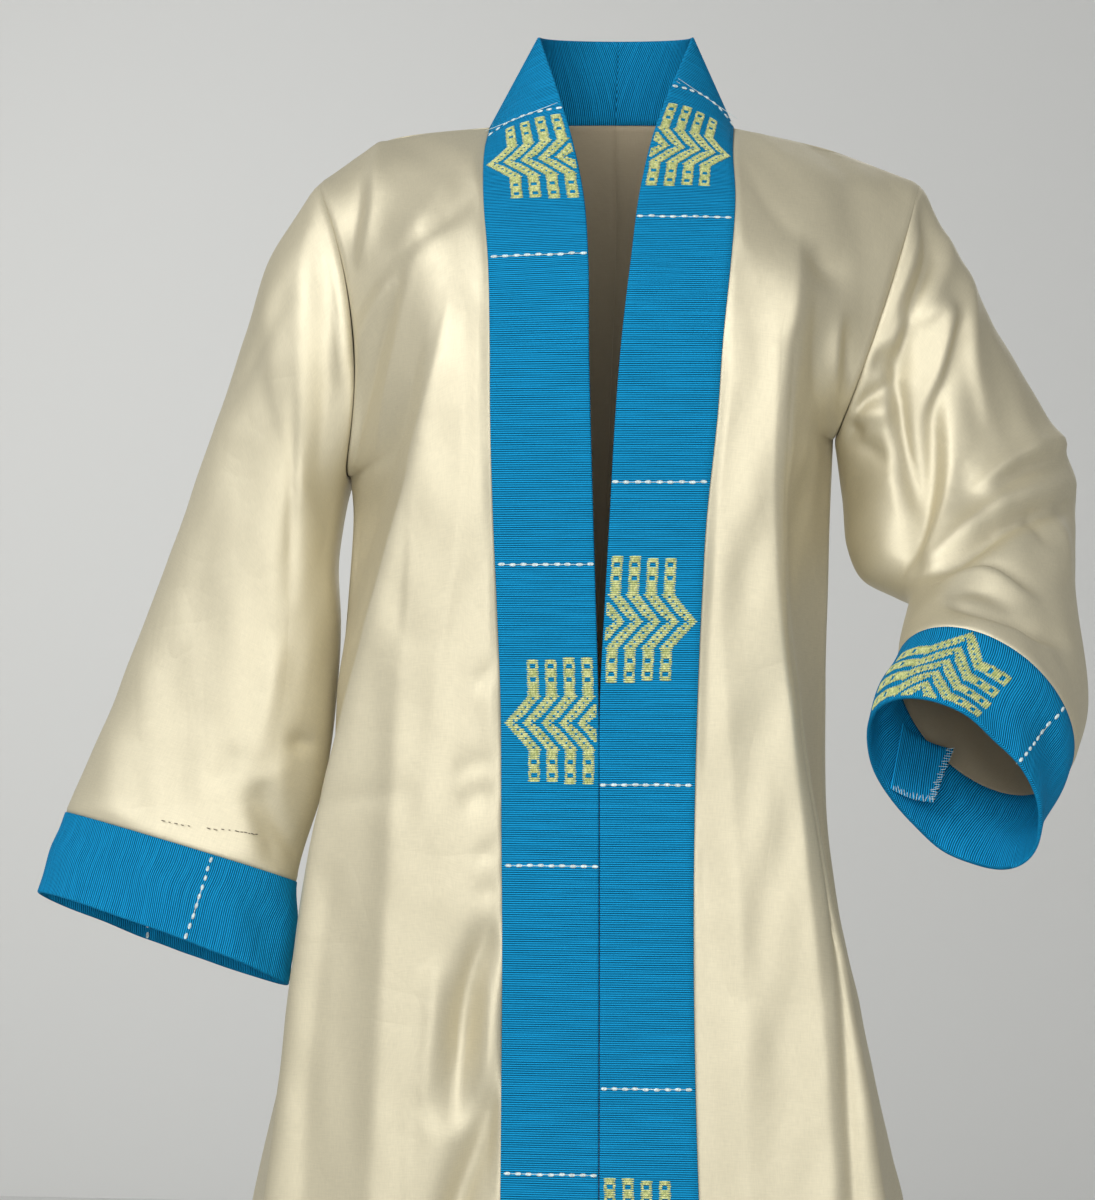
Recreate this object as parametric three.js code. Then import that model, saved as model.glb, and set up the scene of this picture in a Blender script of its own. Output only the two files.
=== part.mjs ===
// An open-front satin robe with a folded woven band and cuffs, held as it hangs on a wearer.
// Millimetres. +X is the wearer's left, +Y the wearer's back, +Z up. The origin lies midway
// between the two points where the shoulder seams meet the neck band.

import * as THREE from "three";

// ---------------------------------------------------------------------------
// Driving dimensions
// ---------------------------------------------------------------------------
const SATIN_WALL = 1.6;
const STRIP_WALL = 2.6;
const SEAM_GAP = 0.32;
const SEAM_REACH = 4;

const ARMHOLE_ROWS = 10;
const HALF_FRONT_STEPS = 5;
const NECK_STEPS = 8;
const BAND_STEPS = 3;

const FRONT_BOW = 3;
const SIDE_HOLLOW = 9;
const FOLD_SHARPNESS = 0.035;
const CHEST_SOFTNESS = 0.16;
const BACK_ROUNDNESS = 2.3;

const FLUTE_COUNT = 3.5;
const FLUTE_DEPTH = 13;
const SMALL_FLUTE_COUNT = 5.3;
const SMALL_FLUTE_SHARE = 0.35;
const FLUTE_TOP_Z = -420;
const FLUTE_FULL_Z = -1110;

const BAND_PROUD = 1;
const ARMHOLE_FLATNESS = 0.3;

const table = (names, rows) =>
  rows.map((row) => Object.fromEntries(names.map((name, k) => [name, row[k]])));

// ---------------------------------------------------------------------------
// Level sections below the armholes, hem first. Each front runs from the band seam to the
// pressed fold that falls from the bust, and from there round to the side seam.
// ---------------------------------------------------------------------------
const SKIRT_COLUMNS = ["z", "free_x", "band_x", "band_y", "fold_x", "fold_y", "side_x", "side_y"];

const RIGHT_SKIRT = table(SKIRT_COLUMNS, [
  [-1110, -6.8, -70, -136, -278, -122, -322, 52],
  [-1000, -6.8, -70, -132, -266, -118, -305, 50],
  [-880, -6.8, -70, -128, -252, -113, -287, 47],
  [-760, -6.7, -70, -124, -238, -108, -266, 43],
  [-660, -6.6, -69.5, -121, -225, -105, -240, 30],
  [-560, -6.6, -69, -119, -214, -105, -205, 12],
  [-480, -6.6, -69.5, -119, -201, -106, -196, 0],
  [-400, -6.8, -70, -120, -176, -108, -190, -8],
  [-330, -8.6, -72.5, -122, -153, -117, -187, -8],
  [-275, -10, -74.5, -126, -136, -121, -186, -5],
]);

const LEFT_SKIRT = table(SKIRT_COLUMNS, [
  [-1110, -5.2, 60, -136, 236, -122, 256, 52],
  [-1000, -5.2, 60, -132, 224, -117, 242, 50],
  [-880, -5.2, 60, -128, 208, -112, 223, 47],
  [-760, -5.2, 59.5, -124, 190, -108, 200, 40],
  [-660, -5.2, 56.5, -121, 174, -104, 178, 28],
  [-560, -5.2, 55, -119, 156, -103, 156, 14],
  [-480, -5.2, 55.5, -119, 140, -103, 145, 0],
  [-400, -5, 57.5, -120, 127, -106, 144, -12],
  [-330, -1.4, 60.5, -122, 118, -111, 146, -15],
  [-275, 1.9, 64, -126, 117, -114, 147.5, -12],
]);

const BACK_SKIRT = table(["x", "y"], [
  [-32, 156],
  [-31, 146],
  [-30, 136],
  [-29, 124],
  [-28, 112],
  [-26, 100],
  [-23, 92],
  [-20, 89],
  [-18, 93],
  [-14, 99],
]);

// ---------------------------------------------------------------------------
// The chest and shoulders, from the armpit row (t = 0) to the shoulder seam (t = 1).
// free is the band's folded edge, band its seam, mid the middle of the front panel.
// ---------------------------------------------------------------------------
const CHEST_COLUMNS = [
  "t", "free_x", "free_y", "free_z", "band_x", "band_y", "band_z", "mid_x", "mid_y", "mid_z",
];

const RIGHT_CHEST = table(CHEST_COLUMNS, [
  [0.0, -11.4, -131, -215, -76, -128, -215, -122, -125, -228],
  [0.2, -12.5, -130, -165, -76.5, -126, -165, -120, -124, -178],
  [0.4, -13.5, -120, -112, -79, -112, -112, -122, -112, -130],
  [0.6, -19, -88, -61, -85, -84, -66, -130, -90, -84],
  [0.8, -33, -47, -5, -89, -44, -28, -142, -52, -42],
  [1.0, -56, 4, 62, -90, 5, 0, -168, 6, -4],
]);

const LEFT_CHEST = table(CHEST_COLUMNS, [
  [0.0, 5.5, -131, -215, 70.5, -128, -215, 121, -120, -224],
  [0.2, 9.5, -130, -165, 74, -126, -165, 124, -122, -174],
  [0.4, 15, -119, -112, 79, -113, -114, 128, -112, -126],
  [0.6, 20, -88, -60, 82, -85, -68, 134, -92, -84],
  [0.8, 30.5, -48, -7, 80.5, -45, -31, 142, -54, -50],
  [1.0, 53, 4, 60, 81, 5, -3, 150, 5, -18],
]);

const BACK_YOKE = table(["t", "x", "y", "z"], [
  [0.0, -12, 102, -232],
  [0.2, -10, 104, -180],
  [0.4, -8, 103, -130],
  [0.6, -6, 97, -82],
  [0.8, -5, 84, -36],
  [1.0, -4.5, 66, 11],
]);

const NECK_SEAM_REACH = 61;
const NECK_SEAM_RISE = 13;
const NECK_EDGE_REACH = 51;
const NECK_EDGE_RISE = 8;

// ---------------------------------------------------------------------------
// Armholes and sleeves. out is the shoulder side of a ring, in the armpit side; front and
// back are how far the ring stands off the line between them.
// ---------------------------------------------------------------------------
const ARMHOLES = {
  right: { out: [-210, 5, -38], front: [-179, -53, -146], in: [-188, -5, -247], back: [-176, 60, -146] },
  left: { out: [210, 5, -45], front: [176, -60, -155], in: [150, -4, -222], back: [180, 60, -140] },
};

const RING_COLUMNS = ["out_x", "out_y", "out_z", "in_x", "in_y", "in_z", "front", "back"];

const RIGHT_SLEEVE = table(RING_COLUMNS, [
  [-243, 6, -90, -193, -2, -270, 52, 54],
  [-264, 6, -145, -197, 0, -303, 49, 52],
  [-294, 4, -235, -199, -2, -348, 46, 49],
  [-326, 2, -325, -202, -5, -398, 44, 46],
  [-357, -5, -410, -209, -12, -460, 43, 44],
  [-388, -15, -483, -222, -25, -529, 42, 42],
]);

const RIGHT_CUFF = table(RING_COLUMNS, [
  [-396, -24, -510, -223, -34, -563, 42, 42],
  [-403, -34, -537, -224, -44, -597, 41, 41],
]);

const LEFT_SLEEVE = table(RING_COLUMNS, [
  [240, 11, -108, 157, -8, -262, 56, 56],
  [270, 15, -160, 160, -18, -296, 54, 54],
  [297, 17, -210, 170, -36, -318, 52, 52],
  [316, 14, -256, 188, -58, -323, 52, 50],
  [308, -8, -312, 200, -84, -322, 50, 46],
  [302, -42, -368, 202, -110, -330, 50, 46],
  [299, -88, -424, 198, -132, -341, 50, 50],
  [280, -129, -456, 196, -151, -354, 57, 52],
]);

const LEFT_CUFF = table(RING_COLUMNS, [
  [267, -145, -478, 185, -171, -374, 58, 51],
  [255, -162, -500, 174, -192, -394, 58, 50],
]);

// ---------------------------------------------------------------------------
// Curves and blends
// ---------------------------------------------------------------------------
const point = (x, y, z) => new THREE.Vector3(x, y, z);
const steps = (count) => Array.from({ length: count + 1 }, (_, k) => k / count);

// Shares a run between two straight legs that meet at its middle, with a rounded corner.
function corner(s, softness) {
  const bend = (q) => (q - 0.5 + Math.hypot(q - 0.5, softness)) / 2;
  const second = (bend(s) - bend(0)) / (bend(1) - bend(0));
  return [2 * s - second, second];
}

function acrossPanel(start, middle, end, s, softness) {
  const [first, second] = corner(s, softness);
  return start.clone()
    .addScaledVector(middle.clone().sub(start), first)
    .addScaledVector(end.clone().sub(middle), second);
}

// A smooth value between the rows of a table whose t column runs evenly from 0 to 1.
function along(rows, column, t) {
  const place = t * (rows.length - 1);
  const k = Math.min(Math.floor(place), rows.length - 2);
  const f = place - k;
  const at = (n) => rows[Math.min(Math.max(n, 0), rows.length - 1)][column];
  const [a, b, c, d] = [at(k - 1), at(k), at(k + 1), at(k + 2)];
  return b + 0.5 * f * (c - a + f * (2 * a - 5 * b + 4 * c - d + f * (3 * (b - c) + d - a)));
}

const pointAlong = (rows, name, t) =>
  point(along(rows, `${name}x`, t), along(rows, `${name}y`, t), along(rows, `${name}z`, t));

// A closed ring through four points: out at 0, front at 90, in at 180 and back at 270 degrees.
function ringPoint(ring, angle) {
  const centre = ring.out.clone().add(ring.in).multiplyScalar(0.5);
  const spread = ring.out.clone().sub(ring.in).multiplyScalar(0.5);
  const depth = ring.front.clone().sub(ring.back).multiplyScalar(0.5);
  const lean = ring.front.clone().add(ring.back).multiplyScalar(0.5).sub(centre);
  return centre
    .addScaledVector(spread, Math.cos(angle))
    .addScaledVector(depth, Math.sin(angle))
    .addScaledVector(lean, Math.sin(angle) ** 2);
}

const armholeRing = (side) =>
  Object.fromEntries(Object.entries(ARMHOLES[side]).map(([name, p]) => [name, point(...p)]));

const armholeAt = (side, t, half) => ringPoint(armholeRing(side), half * Math.PI * (1 - t));

// ---------------------------------------------------------------------------
// Panels as grids of points: one list for each row, from the hem up
// ---------------------------------------------------------------------------
const CHEST = { right: RIGHT_CHEST, left: LEFT_CHEST };
const SKIRT = { right: RIGHT_SKIRT, left: LEFT_SKIRT };
const OUTWARD = { right: -1, left: 1 };

function skirtRow(side, row) {
  const start = point(row.band_x, row.band_y, row.z);
  const fold = point(row.fold_x, row.fold_y, row.z);
  const end = point(row.side_x, row.side_y, row.z);
  return steps(2 * HALF_FRONT_STEPS).map((s) => {
    const [first, second] = corner(s, FOLD_SHARPNESS);
    const p = acrossPanel(start, fold, end, s, FOLD_SHARPNESS);
    p.y -= FRONT_BOW * Math.sin(Math.PI * Math.min(first, 1));
    p.x -= OUTWARD[side] * SIDE_HOLLOW * Math.sin(Math.PI * second);
    return p;
  });
}

function chestRow(side, t) {
  const start = pointAlong(CHEST[side], "band_", t);
  const middle = pointAlong(CHEST[side], "mid_", t);
  const end = armholeAt(side, t, 1);
  const softness = FOLD_SHARPNESS + (CHEST_SOFTNESS - FOLD_SHARPNESS) * Math.min(1, 2 * t);
  return steps(2 * HALF_FRONT_STEPS).map((s) => acrossPanel(start, middle, end, s, softness));
}

const frontGrid = (side) => [
  ...SKIRT[side].map((row) => skirtRow(side, row)),
  ...steps(ARMHOLE_ROWS).map((t) => chestRow(side, t)),
];

function neckPoint(angle, reach, rise, rightEnd, leftEnd) {
  const share = (1 - Math.cos(angle)) / 2;
  const p = rightEnd.clone().lerp(leftEnd, share);
  p.y += reach * Math.sin(angle);
  p.z += rise * Math.sin(angle);
  return p;
}

const neckSeam = () => steps(NECK_STEPS).map((s) => neckPoint(
  Math.PI * s, NECK_SEAM_REACH, NECK_SEAM_RISE,
  pointAlong(RIGHT_CHEST, "band_", 1), pointAlong(LEFT_CHEST, "band_", 1),
));

const neckEdge = () => steps(NECK_STEPS).map((s) => neckPoint(
  Math.PI * s, NECK_EDGE_REACH, NECK_EDGE_RISE,
  pointAlong(RIGHT_CHEST, "free_", 1), pointAlong(LEFT_CHEST, "free_", 1),
));

// From the right shoulder point along the seam, round the back neck and out to the left.
const backTopRow = () => [
  ...chestRow("right", 1).reverse(),
  ...neckSeam().slice(1, -1),
  ...chestRow("left", 1),
];

// A row across the back from side to side, as one rounded arch through the centre back.
function backArch(rightEnd, centre, leftEnd) {
  const power = 2 / BACK_ROUNDNESS;
  const count = 4 * HALF_FRONT_STEPS + NECK_STEPS;
  return steps(count).map((s) => {
    const angle = Math.PI * (s - 0.5);
    const out = Math.sign(angle) * Math.abs(Math.sin(angle)) ** power;
    const round = Math.max(Math.cos(angle), 0) ** power;
    const end = angle < 0 ? rightEnd : leftEnd;
    const p = centre.clone().lerp(end, Math.abs(out));
    p.y = end.y + (centre.y - end.y) * round;
    return p;
  });
}

function flute(z, s) {
  const growth = Math.min(Math.max((FLUTE_TOP_Z - z) / (FLUTE_TOP_Z - FLUTE_FULL_Z), 0), 1);
  const wave = Math.cos(2 * Math.PI * FLUTE_COUNT * s)
    - SMALL_FLUTE_SHARE * Math.cos(2 * Math.PI * SMALL_FLUTE_COUNT * s + 1);
  return FLUTE_DEPTH * growth * wave * Math.sin(Math.PI * s) ** 2;
}

// The back is two panels, joined by a seam down the centre.
function backGrid(side) {
  const skirt = RIGHT_SKIRT.map((right, k) => {
    const left = LEFT_SKIRT[k];
    const rightEnd = point(right.side_x, right.side_y, right.z);
    const leftEnd = point(left.side_x, left.side_y, left.z);
    const centre = point(BACK_SKIRT[k].x, BACK_SKIRT[k].y, right.z);
    const row = backArch(rightEnd, centre, leftEnd);
    row.forEach((p, j) => {
      p.y += flute(right.z, j / (row.length - 1));
    });
    return row;
  });
  const top = backTopRow();
  const flat = backArch(armholeAt("right", 1, -1), pointAlong(BACK_YOKE, "", 1), armholeAt("left", 1, -1));
  const yoke = steps(ARMHOLE_ROWS).map((t) => {
    const row = backArch(armholeAt("right", t, -1), pointAlong(BACK_YOKE, "", t), armholeAt("left", t, -1));
    return row.map((p, j) => p.addScaledVector(top[j].clone().sub(flat[j]), t ** 3));
  });
  const join = (top.length - 1) / 2;
  return [...skirt, ...yoke].map((row) => (side === "right" ? row.slice(0, join + 1) : row.slice(join)));
}

// The band's two long edges run from the right hem up round the neck to the left hem. It is two
// lengths of strip, joined at the centre back.
function bandGrid(side) {
  const seamEdge = (side) => frontGrid(side).map((row) => row[0]);
  const freeEdge = (side) => [
    ...SKIRT[side].map((row) => point(row.free_x, row.band_y - BAND_PROUD, row.z)),
    ...steps(ARMHOLE_ROWS).map((t) => pointAlong(CHEST[side], "free_", t)),
  ];
  const seam = [...seamEdge("right"), ...neckSeam().slice(1, -1), ...seamEdge("left").reverse()];
  const free = [...freeEdge("right"), ...neckEdge().slice(1, -1), ...freeEdge("left").reverse()];
  const rows = seam.map((p, k) => steps(BAND_STEPS).map((s) => p.clone().lerp(free[k], s)));
  const join = (rows.length - 1) / 2;
  return side === "right" ? rows.slice(0, join + 1) : rows.slice(join);
}

// ---------------------------------------------------------------------------
// Sleeves and cuffs as rings of points
// ---------------------------------------------------------------------------
function armRings(side, sleeveRows, cuffRows) {
  const rows = [...sleeveRows, ...cuffRows].map((row) => ({
    ...row,
    out: point(row.out_x, row.out_y, row.out_z),
    in: point(row.in_x, row.in_y, row.in_z),
  }));
  const rings = [armholeRing(side), ...rows];
  const middles = rings.map((ring) => ring.out.clone().add(ring.in).multiplyScalar(0.5));
  rows.forEach((ring, k) => {
    const ahead = middles[Math.min(k + 2, middles.length - 1)];
    const direction = ahead.clone().sub(middles[k]).normalize();
    const spread = ring.out.clone().sub(ring.in);
    const forward = direction.cross(spread).multiplyScalar(OUTWARD[side]).normalize();
    const middle = middles[k + 1];
    const [front, back] = [ring.front, ring.back];
    ring.front = middle.clone().addScaledVector(forward, front);
    ring.back = middle.clone().addScaledVector(forward, -back);
  });
  const angles = steps(2 * ARMHOLE_ROWS).slice(0, -1).map((s) => 2 * Math.PI * s);
  return rings.map((ring) => angles.map((angle) => ringPoint(ring, angle)));
}

// ---------------------------------------------------------------------------
// Sewing: points that two pieces share get one normal, and each piece stops short of the seam
// ---------------------------------------------------------------------------
const key = (p) => [p.x, p.y, p.z].map((value) => Math.round(value * 1000)).join();

function surfaceNormals(piece) {
  const { grid, tube, outward } = piece;
  const [rows, columns] = [grid.length, grid[0].length];
  return grid.map((row, i) => row.map((_, j) => {
    const before = tube ? (j + columns - 1) % columns : Math.max(j - 1, 0);
    const after = tube ? (j + 1) % columns : Math.min(j + 1, columns - 1);
    const across = row[after].clone().sub(row[before]);
    const up = grid[Math.min(i + 1, rows - 1)][j].clone().sub(grid[Math.max(i - 1, 0)][j]);
    return across.cross(up).multiplyScalar(outward).normalize();
  }));
}

// At an armhole the shared normal points straight out from the middle of the hole.
function armholeNormals() {
  const normals = new Map();
  for (const side of ["right", "left"]) {
    const ring = armholeRing(side);
    const centre = ring.out.clone().add(ring.in).add(ring.front).add(ring.back).multiplyScalar(0.25);
    for (const s of steps(2 * ARMHOLE_ROWS)) {
      const p = ringPoint(ring, 2 * Math.PI * s);
      const normal = p.clone().sub(centre);
      normal.x *= ARMHOLE_FLATNESS;
      normals.set(key(p), normal.normalize());
    }
  }
  return normals;
}

function shareNormals(pieces) {
  const sums = new Map();
  for (const piece of pieces) {
    piece.grid.forEach((row, i) => row.forEach((p, j) => {
      const sum = sums.get(key(p)) ?? point(0, 0, 0);
      sums.set(key(p), sum.add(piece.normals[i][j]));
    }));
  }
  const fixed = armholeNormals();
  for (const piece of pieces) {
    piece.normals = piece.grid.map((row) => row.map((p) =>
      (fixed.get(key(p)) ?? sums.get(key(p))).clone().normalize()));
  }
}

// Moves one edge point half a seam gap into its own piece, square to the edge.
function shrinkFrom(p, neighbour, edgeDirection, normal) {
  const inwards = neighbour.clone().sub(p);
  const tangent = edgeDirection.clone().addScaledVector(normal, -edgeDirection.dot(normal)).normalize();
  inwards.addScaledVector(normal, -inwards.dot(normal));
  inwards.addScaledVector(tangent, -inwards.dot(tangent));
  return inwards.setLength(SEAM_GAP / 2);
}

function openSeams(piece) {
  const { grid, normals, tube, sewn } = piece;
  const [lastRow, lastColumn] = [grid.length - 1, grid[0].length - 1];
  const moves = grid.map((row) => row.map(() => point(0, 0, 0)));
  const column = (j, neighbour) => grid.forEach((row, i) => {
    const run = grid[Math.min(i + 1, lastRow)][j].clone().sub(grid[Math.max(i - 1, 0)][j]);
    if (i === piece.armpitRow) run.set(0, 0, 0);
    moves[i][j].add(shrinkFrom(row[j], row[neighbour], run, normals[i][j]));
  });
  const line = (i, neighbour) => grid[i].forEach((p, j) => {
    const after = tube ? (j + 1) % (lastColumn + 1) : Math.min(j + 1, lastColumn);
    const before = tube ? (j + lastColumn) % (lastColumn + 1) : Math.max(j - 1, 0);
    const run = grid[i][after].clone().sub(grid[i][before]);
    moves[i][j].add(shrinkFrom(p, grid[neighbour][j], run, normals[i][j]));
  });
  const [rowReach, columnReach] = [Math.min(SEAM_REACH, lastRow), Math.min(SEAM_REACH, lastColumn)];
  if (sewn.includes("first column")) column(0, columnReach);
  if (sewn.includes("last column")) column(lastColumn, lastColumn - columnReach);
  if (sewn.includes("first row")) line(0, rowReach);
  if (sewn.includes("last row")) line(lastRow, lastRow - rowReach);
  piece.grid = grid.map((row, i) => row.map((p, j) => p.clone().add(moves[i][j])));
}

// ---------------------------------------------------------------------------
// A closed wall from a grid: outer face, inner face and the rims that join them
// ---------------------------------------------------------------------------
const RIM_ORDER = point(-1, 0.59, -0.37);

function wallGeometry(piece) {
  const { grid, normals, tube, wall, outward } = piece;
  const [rows, columns] = [grid.length, grid[0].length];
  const positions = [];
  const indices = [];
  const inner = rows * columns;
  const at = (i, j) => i * columns + (j % columns);
  grid.forEach((row) => row.forEach((p) => positions.push(p.x, p.y, p.z)));
  grid.forEach((row, i) => row.forEach((p, j) => {
    const q = p.clone().addScaledVector(normals[i][j], -wall);
    positions.push(q.x, q.y, q.z);
  }));
  const quad = (a, b, c, d) => {
    const loop = outward > 0 ? [a, b, c, d] : [a, d, c, b];
    indices.push(loop[0], loop[1], loop[2], loop[0], loop[2], loop[3]);
  };
  const span = tube ? columns : columns - 1;
  for (let i = 0; i < rows - 1; i += 1) {
    for (let j = 0; j < span; j += 1) {
      const [a, b, c, d] = [at(i, j), at(i, j + 1), at(i + 1, j + 1), at(i + 1, j)];
      quad(a, b, c, d);
      quad(inner + a, inner + d, inner + c, inner + b);
    }
  }
  // Both sides of a seam split their rims along the same diagonal, so the gap stays even.
  const rank = (n) => point(...positions.slice(3 * n, 3 * n + 3)).dot(RIM_ORDER);
  const rim = (a, b) => {
    if (rank(a) < rank(b)) {
      quad(a, b, inner + b, inner + a);
    } else {
      quad(b, inner + b, inner + a, a);
    }
  };
  for (let j = 0; j < span; j += 1) {
    rim(at(0, j + 1), at(0, j));
    rim(at(rows - 1, j), at(rows - 1, j + 1));
  }
  for (let i = 0; !tube && i < rows - 1; i += 1) {
    rim(at(i, 0), at(i + 1, 0));
    rim(at(i + 1, columns - 1), at(i, columns - 1));
  }
  const geometry = new THREE.BufferGeometry();
  geometry.setAttribute("position", new THREE.Float32BufferAttribute(positions, 3));
  geometry.setIndex(indices);
  geometry.computeVertexNormals();
  return geometry;
}

// ---------------------------------------------------------------------------
// Materials and pieces
// ---------------------------------------------------------------------------
const satin = () => new THREE.MeshStandardMaterial({ color: 0xd9cfb4, roughness: 0.35, metalness: 0 });
const strip = () => new THREE.MeshStandardMaterial({ color: 0x0b79ab, roughness: 0.75, metalness: 0 });

const rightRings = armRings("right", RIGHT_SLEEVE, RIGHT_CUFF);
const leftRings = armRings("left", LEFT_SLEEVE, LEFT_CUFF);
const panelSeams = ["first column", "last column", "last row"];
const armpitRow = RIGHT_SKIRT.length;
const tubeSeams = ["first row", "last row"];

const pieces = [
  { name: "back_right", grid: backGrid("right"), outward: -1, wall: SATIN_WALL, sewn: panelSeams, armpitRow },
  { name: "back_left", grid: backGrid("left"), outward: -1, wall: SATIN_WALL, sewn: panelSeams, armpitRow },
  { name: "front_right", grid: frontGrid("right"), outward: -1, wall: SATIN_WALL, sewn: panelSeams, armpitRow },
  { name: "front_left", grid: frontGrid("left"), outward: 1, wall: SATIN_WALL, sewn: panelSeams, armpitRow },
  { name: "sleeve_right", grid: rightRings.slice(0, -2), outward: -1, wall: SATIN_WALL, sewn: tubeSeams, tube: true },
  { name: "sleeve_left", grid: leftRings.slice(0, -2), outward: 1, wall: SATIN_WALL, sewn: tubeSeams, tube: true },
  { name: "cuff_right", grid: rightRings.slice(-3), outward: -1, wall: STRIP_WALL, sewn: ["first row"], tube: true },
  { name: "cuff_left", grid: leftRings.slice(-3), outward: 1, wall: STRIP_WALL, sewn: ["first row"], tube: true },
  { name: "band_right", grid: bandGrid("right"), outward: 1, wall: STRIP_WALL, sewn: ["first column", "last row"] },
  { name: "band_left", grid: bandGrid("left"), outward: 1, wall: STRIP_WALL, sewn: ["first column", "first row"] },
];

for (const piece of pieces) {
  piece.normals = surfaceNormals(piece);
}
shareNormals(pieces);
pieces.forEach(openSeams);

const robe = new THREE.Group();
for (const piece of pieces) {
  const mesh = new THREE.Mesh(wallGeometry(piece), piece.wall === STRIP_WALL ? strip() : satin());
  mesh.name = piece.name;
  robe.add(mesh);
}

export default robe;
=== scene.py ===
"""An open-front satin robe with a folded woven band and cuffs, held as it hangs on a wearer.

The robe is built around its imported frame. Lengths in the tables are millimetres: +X is the
wearer's left, +Y the wearer's back, +Z up, and the origin lies between the neck ends of the
shoulder seams.
"""
import math

import bmesh
import bpy
import numpy as np
from bpy.props import FloatProperty, FloatVectorProperty, IntProperty, PointerProperty
from mathutils import Matrix, Vector


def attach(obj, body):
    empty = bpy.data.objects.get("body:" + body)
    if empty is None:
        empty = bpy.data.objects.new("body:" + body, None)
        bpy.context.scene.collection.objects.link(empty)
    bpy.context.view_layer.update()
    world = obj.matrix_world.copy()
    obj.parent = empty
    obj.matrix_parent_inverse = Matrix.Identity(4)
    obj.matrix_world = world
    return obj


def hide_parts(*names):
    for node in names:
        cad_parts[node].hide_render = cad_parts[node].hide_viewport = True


bl_info = {
    "name": "Satin robe with woven band",
    "version": (1, 0, 0),
    "blender": (4, 5, 0),
    "location": "View3D > Sidebar > Robe",
    "description": "Builds an open-front satin robe with a folded woven band and cuffs",
    "category": "Add Mesh",
}

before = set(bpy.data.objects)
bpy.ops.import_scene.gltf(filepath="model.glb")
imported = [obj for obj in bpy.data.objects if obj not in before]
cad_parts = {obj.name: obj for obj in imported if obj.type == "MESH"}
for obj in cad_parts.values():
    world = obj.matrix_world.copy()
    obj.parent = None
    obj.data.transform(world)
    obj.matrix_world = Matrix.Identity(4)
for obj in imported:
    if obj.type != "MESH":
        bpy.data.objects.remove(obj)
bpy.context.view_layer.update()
BODY = "root"
MM = 0.001
TURN = 2 * math.pi

# ---------------------------------------------------------------------------
# The cut and hang of the robe
# ---------------------------------------------------------------------------
# Thickness of the strip folded in two, with the air between its layers.
STRIP_FOLDED = 2.6
# How far a front bows out between the band and its fold, and its side sinks in beyond that.
FRONT_BOW, SIDE_HOLLOW = 3, 9
# How round a front's turn to the side is, at the skirt and at the chest. Nought is sharp.
FOLD_SHARPNESS, CHEST_SOFTNESS = 0.035, 0.16
# The back's arch from side to side: 2 is an ellipse, and more is squarer.
BACK_ROUNDNESS = 2.3
# The back's flutes grow from nothing at one height to their full depth at another.
FLUTE_COUNT, FLUTE_DEPTH = 3.5, 13
SMALL_FLUTE_COUNT, SMALL_FLUTE_SHARE = 5.3, 0.35
FLUTE_TOP_Z, FLUTE_FULL_Z = -420, -1110
# How the back's top edge is shared between each shoulder seam and the neck.
HALF_COLUMNS, NECK_COLUMNS = 10, 8

# About how far across or round each kind of panel runs, for the number of its columns.
FRONT_RUN, BACK_HALF_RUN, SLEEVE_RUN = 390, 330, 430
BAND_STEP, NECK_STEPS = 4.4, 25
CUFF_ROWS, CUFF_COLUMNS = 18, 144
FOLD_TURN_POINTS = 7
# Points round a ring of the arm whose mean is its middle.
MIDDLE_STEPS = 24
# How far from a sewn edge the folds reach their full height.
HOLD_FRONT, HOLD_BACK, HOLD_SLEEVE, HOLD_CUFF = 8, 14, 10, 30
# How far a raw edge bulges, as a share of the wall.
RIM_BULGE = 0.32
# Points of a mesh that lie closer than this, in metres, are made one.
MERGE_REACH = 0.00002

# Slack's waves: length down the cloth, width across it and share of the height.
SLACK_WAVES = ((420, 95, 1.0), (260, 52, 0.55), (150, 30, 0.28), (70, 44, 0.14))
BACK_SLACK, CUFF_SLACK = 1.6, 2
SLACK_SEEDS = {
    "front_right": 11, "front_left": 12, "back_right": 13, "back_left": 14,
    "sleeve_right": 21, "sleeve_left": 22, "cuff": 41,
}
THREAD_SEEDS = {"band": 31, "band_inner": 33, "cuff": 32, "cuff_inner": 34}
STITCH_SEED, END_STITCH_SEED, MARK_SEED = 41, 42, 51

# How many times as strong the light at the upper left is as the one from behind.
UPPER_LIGHT_SHARE = 3.5

SKIRT_COLUMNS = ("z", "free_x", "band_x", "band_y", "fold_x", "fold_y", "side_x", "side_y")
SKIRT = {
    "right": (
        (-1110, -6.8, -70, -136, -278, -122, -322, 52),
        (-1000, -6.8, -70, -132, -266, -118, -305, 50),
        (-880, -6.8, -70, -128, -252, -113, -287, 47),
        (-760, -6.7, -70, -124, -238, -108, -266, 43),
        (-660, -6.6, -69.5, -121, -225, -105, -240, 30),
        (-560, -6.6, -69, -119, -214, -105, -211, 12),
        (-480, -6.6, -69.5, -119, -201, -106, -202, 0),
        (-400, -6.8, -70, -120, -176, -108, -195, -8),
        (-330, -8.6, -72.5, -122, -153, -117, -189, -8),
        (-275, -10, -74.5, -126, -136, -121, -186, -5),
    ),
    "left": (
        (-1110, -5.2, 60, -136, 236, -122, 256, 52),
        (-1000, -5.2, 60, -132, 224, -117, 242, 50),
        (-880, -5.2, 60, -128, 208, -112, 223, 47),
        (-760, -5.2, 59.5, -124, 190, -108, 200, 40),
        (-660, -5.2, 56.5, -121, 174, -104, 178, 28),
        (-560, -5.2, 55, -119, 156, -103, 156, 14),
        (-480, -5.2, 55.5, -119, 140, -103, 145, 0),
        (-400, -5, 57.5, -120, 127, -106, 144, -12),
        (-330, -1.4, 60.5, -122, 118, -111, 146, -15),
        (-275, 1.9, 64, -126, 117, -114, 147.5, -12),
    ),
}
BACK_SKIRT_COLUMNS = ("x", "y")
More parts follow.
